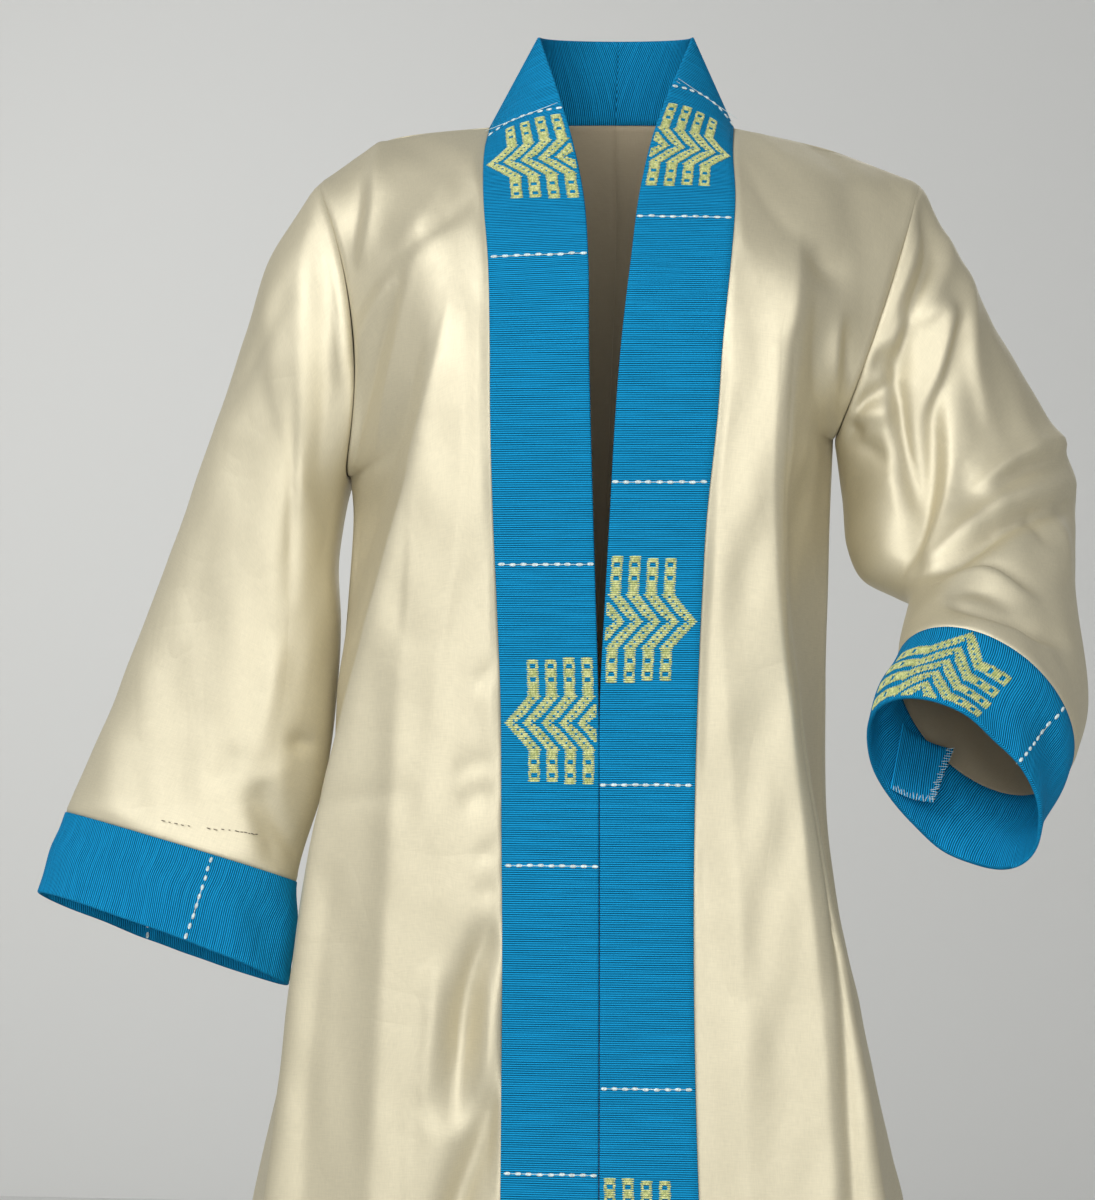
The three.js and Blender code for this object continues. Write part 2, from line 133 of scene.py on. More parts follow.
BACK_SKIRT = (
    (-32, 156), (-31, 146), (-30, 136), (-29, 124), (-28, 112),
    (-26, 100), (-23, 92), (-20, 89), (-18, 93), (-14, 99),
)

CHEST_COLUMNS = (
    "free_x", "free_y", "free_z", "band_x", "band_y", "band_z", "mid_x", "mid_y", "mid_z",
)
CHEST = {
    "right": (
        (-11.4, -131, -215, -76, -128, -215, -122, -125, -228),
        (-12.5, -130, -165, -76.5, -126, -165, -120, -124, -178),
        (-13.5, -120, -112, -79, -112, -112, -122, -112, -130),
        (-19, -88, -61, -85, -84, -66, -130, -90, -84),
        (-33, -47, -5, -89, -44, -28, -142, -52, -42),
        (-56, 4, 62, -90, 5, 0, -168, 6, -4),
    ),
    "left": (
        (5.5, -131, -215, 70.5, -128, -215, 121, -120, -224),
        (9.5, -130, -165, 74, -126, -165, 124, -122, -174),
        (15, -119, -112, 79, -113, -114, 128, -112, -126),
        (20, -88, -60, 82, -85, -68, 134, -92, -84),
        (30.5, -48, -7, 80.5, -45, -31, 142, -54, -50),
        (53, 4, 60, 81, 5, -3, 150, 5, -18),
    ),
}
YOKE_COLUMNS = ("x", "y", "z")
YOKE = (
    (-12, 102, -232), (-10, 104, -180), (-8, 103, -130),
    (-6, 97, -82), (-5, 84, -36), (-4.5, 66, 11),
)

NECK_SEAM_REACH, NECK_SEAM_RISE = 61, 13
NECK_EDGE_REACH, NECK_EDGE_RISE = 51, 8

ARMHOLES = {
    "right": ((-210, 5, -38), (-179, -53, -146), (-188, -5, -247), (-176, 60, -146)),
    "left": ((210, 5, -45), (176, -60, -155), (150, -4, -222), (180, 60, -140)),
}
SLEEVE_COLUMNS = ("out_x", "out_y", "out_z", "in_x", "in_y", "in_z", "front", "back")
SLEEVES = {
    "right": (
        (-243, 6, -90, -193, -2, -270, 52, 54),
        (-264, 6, -145, -197, 0, -303, 49, 52),
        (-294, 4, -235, -195, -2, -348, 46, 49),
        (-326, 2, -325, -197.4, -5, -398, 44, 46),
        (-357, -5, -410, -204.5, -12, -460, 43, 44),
        (-388, -15, -483, -222, -25, -529, 42, 42),
        (-396, -24, -510, -223, -34, -563, 42, 42),
        (-403, -34, -537, -224, -44, -597, 41, 41),
    ),
    "left": (
        (240, 11, -108, 157, -8, -262, 56, 56),
        (270, 15, -160, 160, -18, -296, 54, 54),
        (297, 17, -210, 170, -36, -318, 52, 52),
        (316, 14, -256, 188, -58, -323, 52, 50),
        (308, -8, -312, 200, -84, -322, 50, 46),
        (302, -42, -368, 202, -110, -330, 50, 46),
        (299, -88, -424, 198, -132, -341, 50, 50),
        (280, -129, -456, 196, -151, -354, 57, 52),
        (267, -145, -478, 185, -171, -374, 58, 51),
        (255, -162, -500, 174, -192, -394, 58, 50),
    ),
}
OUTWARD = {"right": -1, "left": 1}

# Heights along a panel, measured up from the hem, of the rows in the tables.
SKIRT_HEIGHTS = (0, 110, 230, 350, 450, 550, 630, 710, 780, 835)
ARMPIT_HEIGHT, SHOULDER_HEIGHT = 880, 1110

# ---------------------------------------------------------------------------
# Folds. Each line is given as it is seen from the front, across and up. depth is how far the
# cloth stands out there, or sinks if it is below nought, and left and right are how wide it is
# to either side of the line as it runs. start and end are the shares of the depth that are left
# at the line's two ends.
# ---------------------------------------------------------------------------
# The columns are line, depth, left, right, start and end.
# CREST sets how crisp a fold's crest is: 2 is round and 1 is a sharp crease.
CREST = 1.22
# How steeply a fold swells from its ends, how many widths away it has died out, and how many
# points its line is drawn through for each point that is given.
FOLD_SWELL, FOLD_REACH, FOLD_FINENESS = 0.7, 3, 4
# Folds fade where the cloth turns away: the share left edge-on, and how fast it grows from there.
EDGE_ON_SHARE, FACING_GAIN = 0.15, 1.6
BODY_FOLDS = (
    # wearer's right front: from the shoulder seam
    (((-165, -10), (-170, -50), (-180, -95)), 6, 9, 10, 0.5, 0.1),
    (((-178, -35), (-182, -60), (-186, -90)), -5, 7, 7, 0.2, 0.2),
    (((-110, -15), (-125, -50), (-155, -90)), 3, 14, 12, 0.2, 0.3),
    # sweeping from the band to the underarm
    (((-95, -45), (-135, -80), (-170, -115), (-185, -140)), -5, 11, 10, 0.1, 0.3),
    (((-95, -65), (-135, -85), (-165, -120), (-185, -175)), 6, 13, 15, 0, 0.2),
    (((-150, -105), (-165, -145), (-180, -205), (-190, -250)), -5.5, 6, 7, 0.4, 0.1),
    (((-145, -105), (-160, -180), (-175, -280)), 4, 11, 6, 0.3, 0),
    (((-115, -115), (-130, -185), (-155, -275), (-185, -370), (-215, -475)), 6, 22, 8, 0.1, 0.3),
    (((-135, -145), (-155, -230), (-180, -310), (-190, -355)), -4, 8, 16, 0.1, 0.1),
    (((-200, -205), (-205, -230), (-195, -250)), 7, 9, 10, 0.2, 0.2),
    (((-187, -195), (-190, -215), (-185, -240)), -4, 5, 6, 0.3, 0.1),
    (((-105, -120), (-110, -260), (-125, -385), (-140, -515)), 3, 16, 18, 0.1, 0.2),
    (((-215, -475), (-175, -470), (-140, -465)), -1.5, 7, 9, 0.3, 0.1),
    # the broad fold down the skirt
    (((-150, -360), (-160, -530), (-170, -700), (-175, -960)), 8, 58, 13, 0.3, 1),
    # crumpled against the band
    (((-90, -560), (-105, -600), (-112, -650), (-115, -705)), -16, 14, 12, 0.2, 0.1),
    (((-85, -585), (-90, -640), (-95, -685)), 6, 8, 7, 0.3, 0.1),
    (((-85, -680), (-100, -720), (-120, -780), (-125, -840)), -17, 15, 12, 0.3, 0.1),
    (((-125, -585), (-130, -635), (-135, -685)), 4.5, 9, 10, 0.2, 0.1),
    # short pulls at the band seam
    (((-85, -380), (-92, -385), (-100, -395)), -2.5, 6, 5, 0.7, 0),
    (((-115, -455), (-100, -450), (-85, -445)), -2.5, 8, 4, 0.1, 0.5),
    (((-110, -475), (-98, -470), (-85, -465)), -3, 7, 9, 0.1, 0.4),
    (((-100, -515), (-92, -510), (-85, -505)), -3, 4, 5, 0.1, 0.9),
    (((-95, -545), (-90, -537), (-85, -530)), -3, 7, 6, 0.1, 0.6),
    # long soft ones to the hem
    (((-200, -515), (-215, -640), (-225, -820)), -4, 12, 14, 0, 0.8),
    (((-130, -545), (-140, -660), (-150, -890)), -3, 14, 11, 0, 0.8),
    # wearer's left front: below the shoulder
    (((90, -25), (105, -55), (145, -95)), -4.5, 12, 12, 0.2, 0.5),
    (((128, -80), (125, -115), (122, -150)), 5, 14, 14, 0.4, 0.2),
    (((142, -95), (152, -106)), -7, 9, 9, 0.8, 0.8),
    (((58, -5), (80, -60), (100, -110)), 2.5, 14, 14, 0.2, 0.1),
    # the long overlapping fold and the ridge beside it
    (((125, -145), (120, -270), (130, -410), (150, -530), (165, -750), (177, -960)),
     -6, 6, 4, 0.1, 0.6),
    (((112, -145), (110, -300), (125, -450), (145, -650), (155, -790)), 4, 7, 18, 0.1, 0.6),
    # short ones in front of the armhole
    (((155, -135), (150, -170), (152, -205)), 6, 6, 6, 0.2, 0.2),
    (((160, -140), (162, -160), (162, -180)), -5, 5, 5, 0.2, 0.2),
    (((138, -125), (141, -180), (145, -240)), -5, 8, 8, 0.3, 0.1),
    # long soft ones beside the band
    (((72, -125), (70, -300), (82, -490), (94, -820)), 2.5, 22, 18, 0.1, 0.6),
    (((50, -405), (60, -540), (70, -790)), -2, 16, 16, 0, 0.6),
)
SLEEVE_RIGHT_FOLDS = (
    # from the cap down the inside of the arm
    (((-205, -40), (-215, -85), (-220, -170), (-225, -275)), 5, 9, 17, 0.3, 0.1),
    (((-225, -175), (-228, -250), (-230, -335)), -3, 4, 4, 0.1, 0.2),
    (((-230, -115), (-255, -160), (-280, -205)), -4, 12, 15, 0.3, 0),
    (((-195, -80), (-190, -130), (-195, -180)), 6, 8, 9, 0.2, 0.1),
    (((-205, -55), (-200, -145), (-210, -240)), -4.5, 6, 7, 0.2, 0.1),
    # shallow ones down the outside
    (((-240, -240), (-265, -330), (-290, -415)), 2, 18, 20, 0.1, 0.2),
    (((-265, -220), (-295, -330), (-325, -445)), -1.5, 16, 20, 0.1, 0.3),
    (((-235, -360), (-245, -405), (-250, -445)), 3.5, 9, 9, 0.1, 0.1),
    (((-350, -405), (-357, -440), (-360, -470)), 1, 14, 14, 0.1, 0.3),
    # gathered against the cuff seam
    (((-250, -460), (-240, -485), (-225, -510)), -6, 9, 6, 0.1, 0.5),
    (((-260, -465), (-250, -485), (-240, -510)), -4, 8, 6, 0.1, 0.3),
    (((-230, -435), (-220, -432), (-210, -435)), -4.5, 6, 6, 0.2, 0.5),
    (((-265, -435), (-275, -450), (-285, -465)), -2, 7, 6, 0.1, 0.1),
)
SLEEVE_LEFT_FOLDS = (
    # from the cap
    (((215, -45), (240, -95), (250, -175), (260, -210)), 7.5, 12, 4, 0.1, 0.2),
    (((215, -55), (220, -90), (205, -135), (200, -180)), -13, 8, 6, 0.2, 0.1),
    (((230, -75), (227, -105), (205, -135), (190, -160)), 8.5, 6, 8, 0.2, 0.1),
    (((203, -140), (230, -130), (230, -155), (215, -200)), 8.5, 6, 6, 0.2, 0.1),
    (((240, -135), (233, -165), (225, -200)), -8.5, 6, 6, 0.2, 0.1),
    (((210, -65), (205, -95), (190, -135)), 5, 6, 6, 0.2, 0.2),
    # the long overlapping fold and its neighbours
    (((225, -195), (222, -250), (205, -305)), -13, 5, 13, 0.4, 0.3),
    (((228, -190), (230, -250), (215, -305)), 7.5, 9, 4, 0.3, 0.2),
    (((195, -150), (200, -220), (210, -270)), -12, 6, 9, 0.2, 0.2),
    (((188, -175), (190, -225), (200, -275)), 5, 7, 8, 0.2, 0.2),
    # crinkles at the underarm
    (((155, -207), (175, -193), (195, -180)), -8.5, 4, 5, 0.9, 0.1),
    (((155, -210), (163, -213), (172, -217)), -6, 4, 4, 0.9, 0.1),
    (((157, -204), (175, -203), (198, -200)), 5, 5, 5, 0.6, 0.1),
    (((160, -220), (178, -228), (195, -240)), -5, 5, 7, 0.6, 0.1),
    (((170, -167), (185, -165), (198, -168)), -5, 4, 4, 0.4, 0.1),
    (((180, -155), (190, -152), (200, -155)), 3.5, 4, 4, 0.2, 0.1),
    # pleats at the elbow
    (((320, -223), (290, -230), (250, -257)), 10, 6, 12, 0.9, 0.1),
    (((317, -232), (290, -238), (263, -255)), -8.5, 9, 5, 0.7, 0.1),
    (((317, -266), (280, -276), (250, -292), (216, -317)), -14, 6, 9, 0.8, 0.3),
    (((315, -257), (275, -264), (245, -284), (215, -311)), 10, 6, 9, 0.7, 0.2),
    (((293, -271), (298, -282), (301, -295)), -7.5, 6, 6, 0.6, 0.1),
    (((310, -275), (312, -295), (315, -320)), 5, 7, 6, 0.2, 0.1),
    # arcs above the cuff
    (((220, -326), (255, -313), (293, -335)), 8.5, 5, 8, 0.1, 0.1),
    (((224, -318), (257, -305), (296, -327)), -7.5, 6, 5, 0.3, 0.1),
    (((230, -332), (250, -326), (280, -340)), -5, 5, 6, 0.1, 0.1),
    (((236, -336), (275, -346), (313, -362)), -10, 4, 6, 0.5, 0.5),
    (((243, -343), (275, -353), (306, -370)), 5, 5, 4, 0.3, 0.3),
)

# These too are given as seen from the front, as if through the robe.
BACK_FOLDS = (
    (((-120, -60), (-108, -120), (-96, -190)), -5.0, 16, 14, 0.1, 0.0),
    (((112, -62), (104, -130), (98, -200)), -4.4, 15, 16, 0.1, 0.0),
    (((-172, -170), (-124, -212), (-70, -232)), -4.6, 10, 12, 0.8, 0.0),
    (((150, -178), (106, -220), (60, -240)), -5.0, 11, 11, 0.8, 0.0),
    (((-176, -196), (-140, -250), (-104, -330)), -4.0, 9, 12, 0.8, 0.0),
    (((152, -206), (128, -262), (100, -350)), -3.6, 11, 9, 0.8, 0.0),
    (((-40, -20), (-52, -90), (-58, -170)), 2.6, 14, 14, 0.2, 0.0),
    (((-60, -300), (-74, -470), (-96, -690), (-118, -900), (-128, -1120)), 8.0, 20, 26, 0.0, 0.8),
    (((52, -280), (62, -430), (80, -640), (96, -840), (106, -1120)), 8.0, 24, 20, 0.0, 0.8),
    (((-6, -560), (-12, -760), (-20, -940), (-24, -1120)), -5.0, 18, 24, 0.0, 0.9),
    (((-170, -520), (-190, -700), (-206, -900), (-216, -1120)), -5.5, 20, 22, 0.1, 0.8),
    (((130, -560), (150, -740), (166, -920), (176, -1120)), -5.0, 20, 18, 0.1, 0.8),
    (((-150, -430), (-120, -452), (-72, -462)), -2.4, 8, 9, 0.2, 0.0),
    (((120, -505), (86, -520), (48, -522)), -2.2, 8, 8, 0.2, 0.0),
)

# ---------------------------------------------------------------------------
# The woven strip: plain ribs, crossed by dotted rows, with a figure in every second interval
# ---------------------------------------------------------------------------
RIB_PITCH = 1.45
CUFF_ROW_INTERVAL = 208
BAND_WIDTH = 65
# Heights at the band's seam of the dotted rows and of the middles of the figures.
BAND_ROWS = {
    "right": (-1100, -905, -706, -506, -310, -108, -12),
    "left": (-1045, -847, -650, -453, -257, -82, -4),
}
BAND_FIGURES = {"right": (-805, -413, -39), "left": (-750, -347, -34)}
# How far round each cuff, as a share, its first dotted row lies, and how far on its figure is.
CUFF_ROW_PLACE = {"right": 0.318, "left": 0.23}
CUFF_FIGURE_REACH = {"right": 124, "left": 76}
# Inside the left cuff the strip's end stands off: its corners, each as millimetres from the rim
# and degrees round the arm, how far it lifts at its free edge, and its gap from the cuff.
FLAP_CORNERS = (((-46, 248), (-62, 285)), ((-2, 262), (-14, 289)))
FLAP_LIFT, FLAP_GAP = 9, 1.3
FLAP_ROWS, FLAP_COLUMNS = 12, 14
# Its overlock stitches. STITCH_REACH is how far from the edge a stitch's middle lies, as a
# share of its length.
FIRST_STITCH, STITCH_PITCH = 0.6, 2.1
STITCH_LENGTH, STITCH_SLANT = (3.2, 6.0), (-0.2, 0.5)
STITCH_REACH, STITCH_LIFT, STITCH_WIDTH, STITCH_HEIGHT = 0.3, 0.3, 0.5, 0.35
# Rows of marks above the right cuff: first mark, last mark and how many. Each mark's place is
# given in millimetres from the rim and degrees round the arm.
NEEDLE_MARKS = (
    ((-78, 86), (-80, 98), 5), ((-82, 107), (-86, 120), 5), ((-86, 121), (-88, 131), 6),
)
MARK_LENGTH, MARK_STRAY, MARK_TURN = (1.2, 3.0), 0.6, 0.7
MARK_LIFT, MARK_WIDTH, MARK_HEIGHT = 1.1, 0.7, 0.4
# How much further round a cuff its rows meet the fold than the seam.
CUFF_SKEW = {"right": -10, "left": 21}
# Each dotted row: short knots, and a thin line under them from edge to edge.
FIRST_DOT, DOT_PITCH, DOT_MARGIN = 4.2, 7.3, 2
DOT_LENGTH, DOT_WIDTH, DOT_HEIGHT = 4.2, 2.2, 1.1
LINE_MARGIN, LINE_WIDTH, LINE_HEIGHT = 1.5, 0.55, 0.4
FLOAT_WIDTH, FLOAT_HEIGHT = 1.42, 0.95
# How far the middles of the knots, lines and figures' floats lie above the cloth.
DOT_LIFT, LINE_LIFT, FLOAT_LIFT = 0.3, 0.1, 0.22
# How far a thread's ends stray across the strip, and a knot along it.
STRAY_ACROSS, STRAY_ALONG = 0.35, 0.3
# Figures stop this far short of a band's ends.
FIGURE_MARGIN = 3
# A figure's rows of floats, in millimetres across from the seam. Nested arms slant away from
# their points, apart by bar_pitch and by step from row to row, and end in upright bars. The
# arms are narrower near the points, by taper for each row closer than taper_rows.
FIGURE = {
    "apex": 2.3, "bar_pitch": 12.2, "bar_width": 7.8, "arm_width": 9.0, "step": 1.31,
    "arm_rows": 12, "upper_rows": 16, "lower_rows": 14, "fold": 64.2,
    "arm_split": 4.4, "split_gap": 1.1, "tick_edge": 2.1,
    "upper_ticks": (6, 7, 12, 13), "lower_ticks": (4, 5, 10, 11),
    "bars": 4, "taper": 0.7, "taper_rows": 3, "shortest": 2,
}


# ---------------------------------------------------------------------------
# Curves
# ---------------------------------------------------------------------------
def column(names, rows, *wanted):
    """The wanted columns of a table, as an array with one row for each row of the table."""
    picked = [names.index(name) for name in wanted]
    return np.array([[row[k] for k in picked] for row in rows], float)


def smooth(knots, values, at):
    """A smooth curve through the values at the knots, read at other places."""
    knots, values = np.asarray(knots, float), np.asarray(values, float)
    at = np.atleast_1d(np.asarray(at, float))
    step = np.diff(knots)[:, None]
    slope = np.diff(values, axis=0) / step
    tangent = np.empty_like(values)
    tangent[1:-1] = (slope[:-1] * step[1:] + slope[1:] * step[:-1]) / (step[:-1] + step[1:])
    tangent[0], tangent[-1] = slope[0], slope[-1]
    k = np.clip(np.searchsorted(knots, at, "right") - 1, 0, len(knots) - 2)
    h = step[k]
    f = ((at - knots[k]) / h[:, 0])[:, None]
    return ((2 * f**3 - 3 * f**2 + 1) * values[k] + (f**3 - 2 * f**2 + f) * h * tangent[k]
            + (3 * f**2 - 2 * f**3) * values[k + 1] + (f**3 - f**2) * h * tangent[k + 1])


def ease(x):
    """0 below nought, 1 above one, and smooth between."""
    x = np.clip(x, 0, 1)
    return x * x * (3 - 2 * x)


def unit(v):
    return v / np.maximum(np.linalg.norm(v, axis=-1, keepdims=True), 1e-9)


def corner(s, softness):
    """Shares a run between two straight legs that meet at its middle, with a rounded corner."""
    def bend(q):
        return (q - 0.5 + np.hypot(q - 0.5, softness)) / 2
    second = (bend(s) - bend(0.0)) / (bend(1.0) - bend(0.0))
    return 2 * s - second, second


def ring_point(ring, angle):
    """A ring through its out, front, in and back points, which lie a quarter turn apart."""
    out, front, inner, back = (ring[..., k, :] for k in range(4))
    centre = (out + inner) / 2
    sine, cosine = np.sin(angle)[..., None], np.cos(angle)[..., None]
    lean = (front + back) / 2 - centre
    return centre + (out - inner) / 2 * cosine + (front - back) / 2 * sine + lean * sine**2


def armhole_at(side, t, half):
    ring = np.array(ARMHOLES[side], float)[None]
    return ring_point(ring, half * math.pi * (1 - np.asarray(t, float)))


# ---------------------------------------------------------------------------
# The panels' guiding lines, by height above the hem
# ---------------------------------------------------------------------------
CHEST_HEIGHTS = tuple(
    ARMPIT_HEIGHT + (SHOULDER_HEIGHT - ARMPIT_HEIGHT) * k / 5 for k in range(6)
)
ROW_HEIGHTS = SKIRT_HEIGHTS + CHEST_HEIGHTS


def chest_share(height):
    return np.clip((height - ARMPIT_HEIGHT) / (SHOULDER_HEIGHT - ARMPIT_HEIGHT), 0, 1)


def band_seam(side, height):
    low = column(SKIRT_COLUMNS, SKIRT[side], "band_x", "band_y", "z")
    high = column(CHEST_COLUMNS, CHEST[side], "band_x", "band_y", "band_z")
    return smooth(ROW_HEIGHTS, np.vstack([low, high]), height)


def band_edge(side, height):
    low = column(SKIRT_COLUMNS, SKIRT[side], "free_x", "band_y", "z") - (0, 1, 0)
    high = column(CHEST_COLUMNS, CHEST[side], "free_x", "free_y", "free_z")
    return smooth(ROW_HEIGHTS, np.vstack([low, high]), height)


def panel_middle(side, height):
    low = column(SKIRT_COLUMNS, SKIRT[side], "fold_x", "fold_y", "z")
    high = column(CHEST_COLUMNS, CHEST[side], "mid_x", "mid_y", "mid_z")
    return smooth(ROW_HEIGHTS, np.vstack([low, high]), height)


def panel_side(side, height, half):
    """The side seam, and above the armpit the front (1) or back (-1) half of the armhole."""
    low = column(SKIRT_COLUMNS, SKIRT[side], "side_x", "side_y", "z")
    armpit = armhole_at(side, [0.0], half)
    seam = smooth(SKIRT_HEIGHTS + (ARMPIT_HEIGHT,), np.vstack([low, armpit]), height)
    hole = armhole_at(side, chest_share(height), half)
    return np.where((height >= ARMPIT_HEIGHT)[:, None], hole, seam)


def front_rows(side, height, s):
    """Points of a front panel: s runs from the band seam to the side."""
    height, s = np.asarray(height, float), np.asarray(s, float)
    start, middle = band_seam(side, height)[:, None], panel_middle(side, height)[:, None]
    end = panel_side(side, height, 1)[:, None]
    share = np.minimum(1, 2 * chest_share(height))
    softness = FOLD_SHARPNESS + (CHEST_SOFTNESS - FOLD_SHARPNESS) * share
    first, second = corner(s[None, :], softness[:, None])
    p = start + (middle - start) * first[..., None] + (end - middle) * second[..., None]
    skirt = 1 - ease((height - SKIRT_HEIGHTS[-1]) / (ARMPIT_HEIGHT - SKIRT_HEIGHTS[-1]))[:, None]
    p[..., 1] -= FRONT_BOW * np.sin(math.pi * np.minimum(first, 1)) * skirt
    p[..., 0] -= OUTWARD[side] * SIDE_HOLLOW * np.sin(math.pi * second) * skirt
    return p


def neck_line(angle, seam):
    reach, rise = (NECK_SEAM_REACH, NECK_SEAM_RISE) if seam else (NECK_EDGE_REACH, NECK_EDGE_RISE)
    line = band_seam if seam else band_edge
    right, left = (line(side, [SHOULDER_HEIGHT])[0] for side in ("right", "left"))
    share = ((1 - np.cos(angle)) / 2)[:, None]
    p = right * (1 - share) + left * share
    p[:, 1] += reach * np.sin(angle)
    p[:, 2] += rise * np.sin(angle)
    return p


def shoulder_line(s):
    """The back's top edge: right shoulder seam, back neck and left shoulder seam."""
    total = 2 * HALF_COLUMNS + NECK_COLUMNS
    place = s * total
    top = [SHOULDER_HEIGHT]
    right = front_rows("right", top, np.clip(1 - place / HALF_COLUMNS, 0, 1))[0]
    beyond = (place - HALF_COLUMNS - NECK_COLUMNS) / HALF_COLUMNS
    left = front_rows("left", top, np.clip(beyond, 0, 1))[0]
    neck = neck_line(math.pi * np.clip((place - HALF_COLUMNS) / NECK_COLUMNS, 0, 1), True)
    p = np.where((place <= HALF_COLUMNS)[:, None], right, neck)
    return np.where((place >= HALF_COLUMNS + NECK_COLUMNS)[:, None], left, p)


def arch(right, centre, left, s):
    """Rows across the back from side to side, each one rounded arch through the centre back."""
    power = 2 / BACK_ROUNDNESS
    angle = math.pi * (s - 0.5)
    out = np.abs(np.sin(angle))[None, :, None] ** power
    rounded = np.maximum(np.cos(angle), 0)[None, :] ** power
    end = np.where((angle < 0)[None, :, None], right[:, None], left[:, None])
    p = centre[:, None] * (1 - out) + end * out
    p[..., 1] = end[..., 1] + (centre[:, None, 1] - end[..., 1]) * rounded
    return p


def back_rows(height, s):
    height, s = np.asarray(height, float), np.asarray(s, float)
    low = np.hstack([
        column(BACK_SKIRT_COLUMNS, BACK_SKIRT, "x", "y"),
        column(SKIRT_COLUMNS, SKIRT["right"], "z"),
    ])
    high = column(YOKE_COLUMNS, YOKE, "x", "y", "z")
    centre = smooth(ROW_HEIGHTS, np.vstack([low, high]), height)
    right, left = panel_side("right", height, -1), panel_side("left", height, -1)
    p = arch(right, centre, left, s)
    growth = np.clip((FLUTE_TOP_Z - p[..., 2]) / (FLUTE_TOP_Z - FLUTE_FULL_Z), 0, 1)
    small = SMALL_FLUTE_SHARE * np.cos(TURN * SMALL_FLUTE_COUNT * s + 1)
    wave = np.cos(TURN * FLUTE_COUNT * s) - small
    p[..., 1] += FLUTE_DEPTH * growth * wave * np.sin(math.pi * s) ** 2
    top = shoulder_line(s)
    flat = arch(right[-1:], centre[-1:], left[-1:], s)[0]
    return p + (top - flat)[None] * (chest_share(height) ** 3)[:, None, None]


def arm_rings(side):
    """The rings of a sleeve and its cuff from the armhole on, and how far along each one lies."""
    rows = SLEEVES[side]
    out = column(SLEEVE_COLUMNS, rows, "out_x", "out_y", "out_z")
    inner = column(SLEEVE_COLUMNS, rows, "in_x", "in_y", "in_z")
    depth = column(SLEEVE_COLUMNS, rows, "front", "back")
    hole = np.array(ARMHOLES[side], float)
    middles = np.vstack([(hole[0] + hole[2]) / 2, (out + inner) / 2])
    rings = [hole]
    for k in range(len(rows)):
        ahead = middles[min(k + 2, len(middles) - 1)] - middles[k]
        forward = unit(np.cross(ahead, out[k] - inner[k]) * OUTWARD[side])
        middle = middles[k + 1]
        front, back = middle + forward * depth[k, 0], middle - forward * depth[k, 1]
        rings.append([out[k], front, inner[k], back])
    reach = np.concatenate([[0], np.cumsum(np.linalg.norm(np.diff(middles, axis=0), axis=1))])
    return np.array(rings), reach


def arm_rows(side, reach, angle):
    """Points round the arm: angle 0 is its outer side and a quarter turn on is its front."""
    rings, places = arm_rings(side)
    at = smooth(places, rings.reshape(len(rings), 12), reach).reshape(-1, 1, 4, 3)
    return ring_point(at, np.asarray(angle, float)[None, :])


# ---------------------------------------------------------------------------
# Grids of points
# ---------------------------------------------------------------------------
def normals_of(grid, outward, tube=False):
    """Outward normals of a grid whose columns run across and whose rows run up or along."""
    if tube:
        across = np.roll(grid, -1, 1) - np.roll(grid, 1, 1)
    else:
        across = np.gradient(grid, axis=1)
    up = np.gradient(grid, axis=0)
    return unit(np.cross(across, up) * outward)


def closed_round(grid):
    """A tube's grid with its first column repeated at its end."""
    return np.concatenate([grid, grid[:, :1]], 1)


def run_along(grid, axis):
    """Distance of each point from the grid's first edge, measured in the cloth."""
    length = np.linalg.norm(np.diff(grid, axis=axis), axis=2)
    pad = [(0, 0), (0, 0)]
    pad[axis] = (1, 0)
    return np.cumsum(np.pad(length, pad), axis=axis)


def edge_distances(grid, edges):
    """How far each point lies from the named edges of the grid."""
    down, across = run_along(grid, 0), run_along(grid, 1)
    found = {
        "first row": down, "last row": down[-1:] - down,
        "first column": across, "last column": across[:, -1:] - across,
    }
    return {edge: found[edge] for edge in edges}


def front_view(points):
    """Where a point is seen from the front, across and up, measured at the shoulders."""
    view = bpy.context.scene.robe_stage
    turn = view.azimuth
    ahead = np.array([-math.sin(turn), math.cos(turn), 0])
    right = np.array([math.cos(turn), math.sin(turn), 0])
    target = np.array(view.target) / MM
    away = view.distance / MM
    from_target = points - target
    size = away / (away + from_target @ ahead)
    across = target[0] + size * (from_target @ right)
    up = target[2] + size * from_target[..., 2]
    return np.stack([across, up], -1), ahead


def fold_height(seen, fold):
    """How far a fold lifts or sinks each point, from where the point is seen."""
    line, depth, left, right, start, end = fold
    line = np.array(line, float)
    knots = np.concatenate([[0], np.cumsum(np.linalg.norm(np.diff(line, axis=0), axis=1))])
    fine = smooth(knots, line, np.linspace(0, knots[-1], FOLD_FINENESS * len(line)))
    spread = FOLD_REACH * max(left, right)
    low, high = fine.min(0) - spread, fine.max(0) + spread
    close = np.all((seen > low) & (seen < high), axis=-1)
    p = seen[close]
    best = np.full(len(p), 1e9)
    side, place = np.zeros(len(p)), np.zeros(len(p))
    pieces = len(fine) - 1
    for k, (a, b) in enumerate(zip(fine[:-1], fine[1:])):
        run = b - a
        t = np.clip((p - a) @ run / (run @ run), 0, 1)
        gap = p - a - t[:, None] * run
        far = np.hypot(gap[:, 0], gap[:, 1])
        nearer = far < best
        best[nearer] = far[nearer]
        side[nearer] = (run[0] * gap[:, 1] - run[1] * gap[:, 0])[nearer]
        place[nearer] = (k + t[nearer]) / pieces
    swell = np.sin(math.pi * np.clip(place, 0, 1)) ** FOLD_SWELL
    ends = start * (1 - place) + end * place
    share = ends + (1 - ends) * swell
    width = np.where(side > 0, left, right)
    height = np.zeros(seen.shape[:-1])
    height[close] = depth * share * np.exp(-(best / width) ** CREST)
    return height


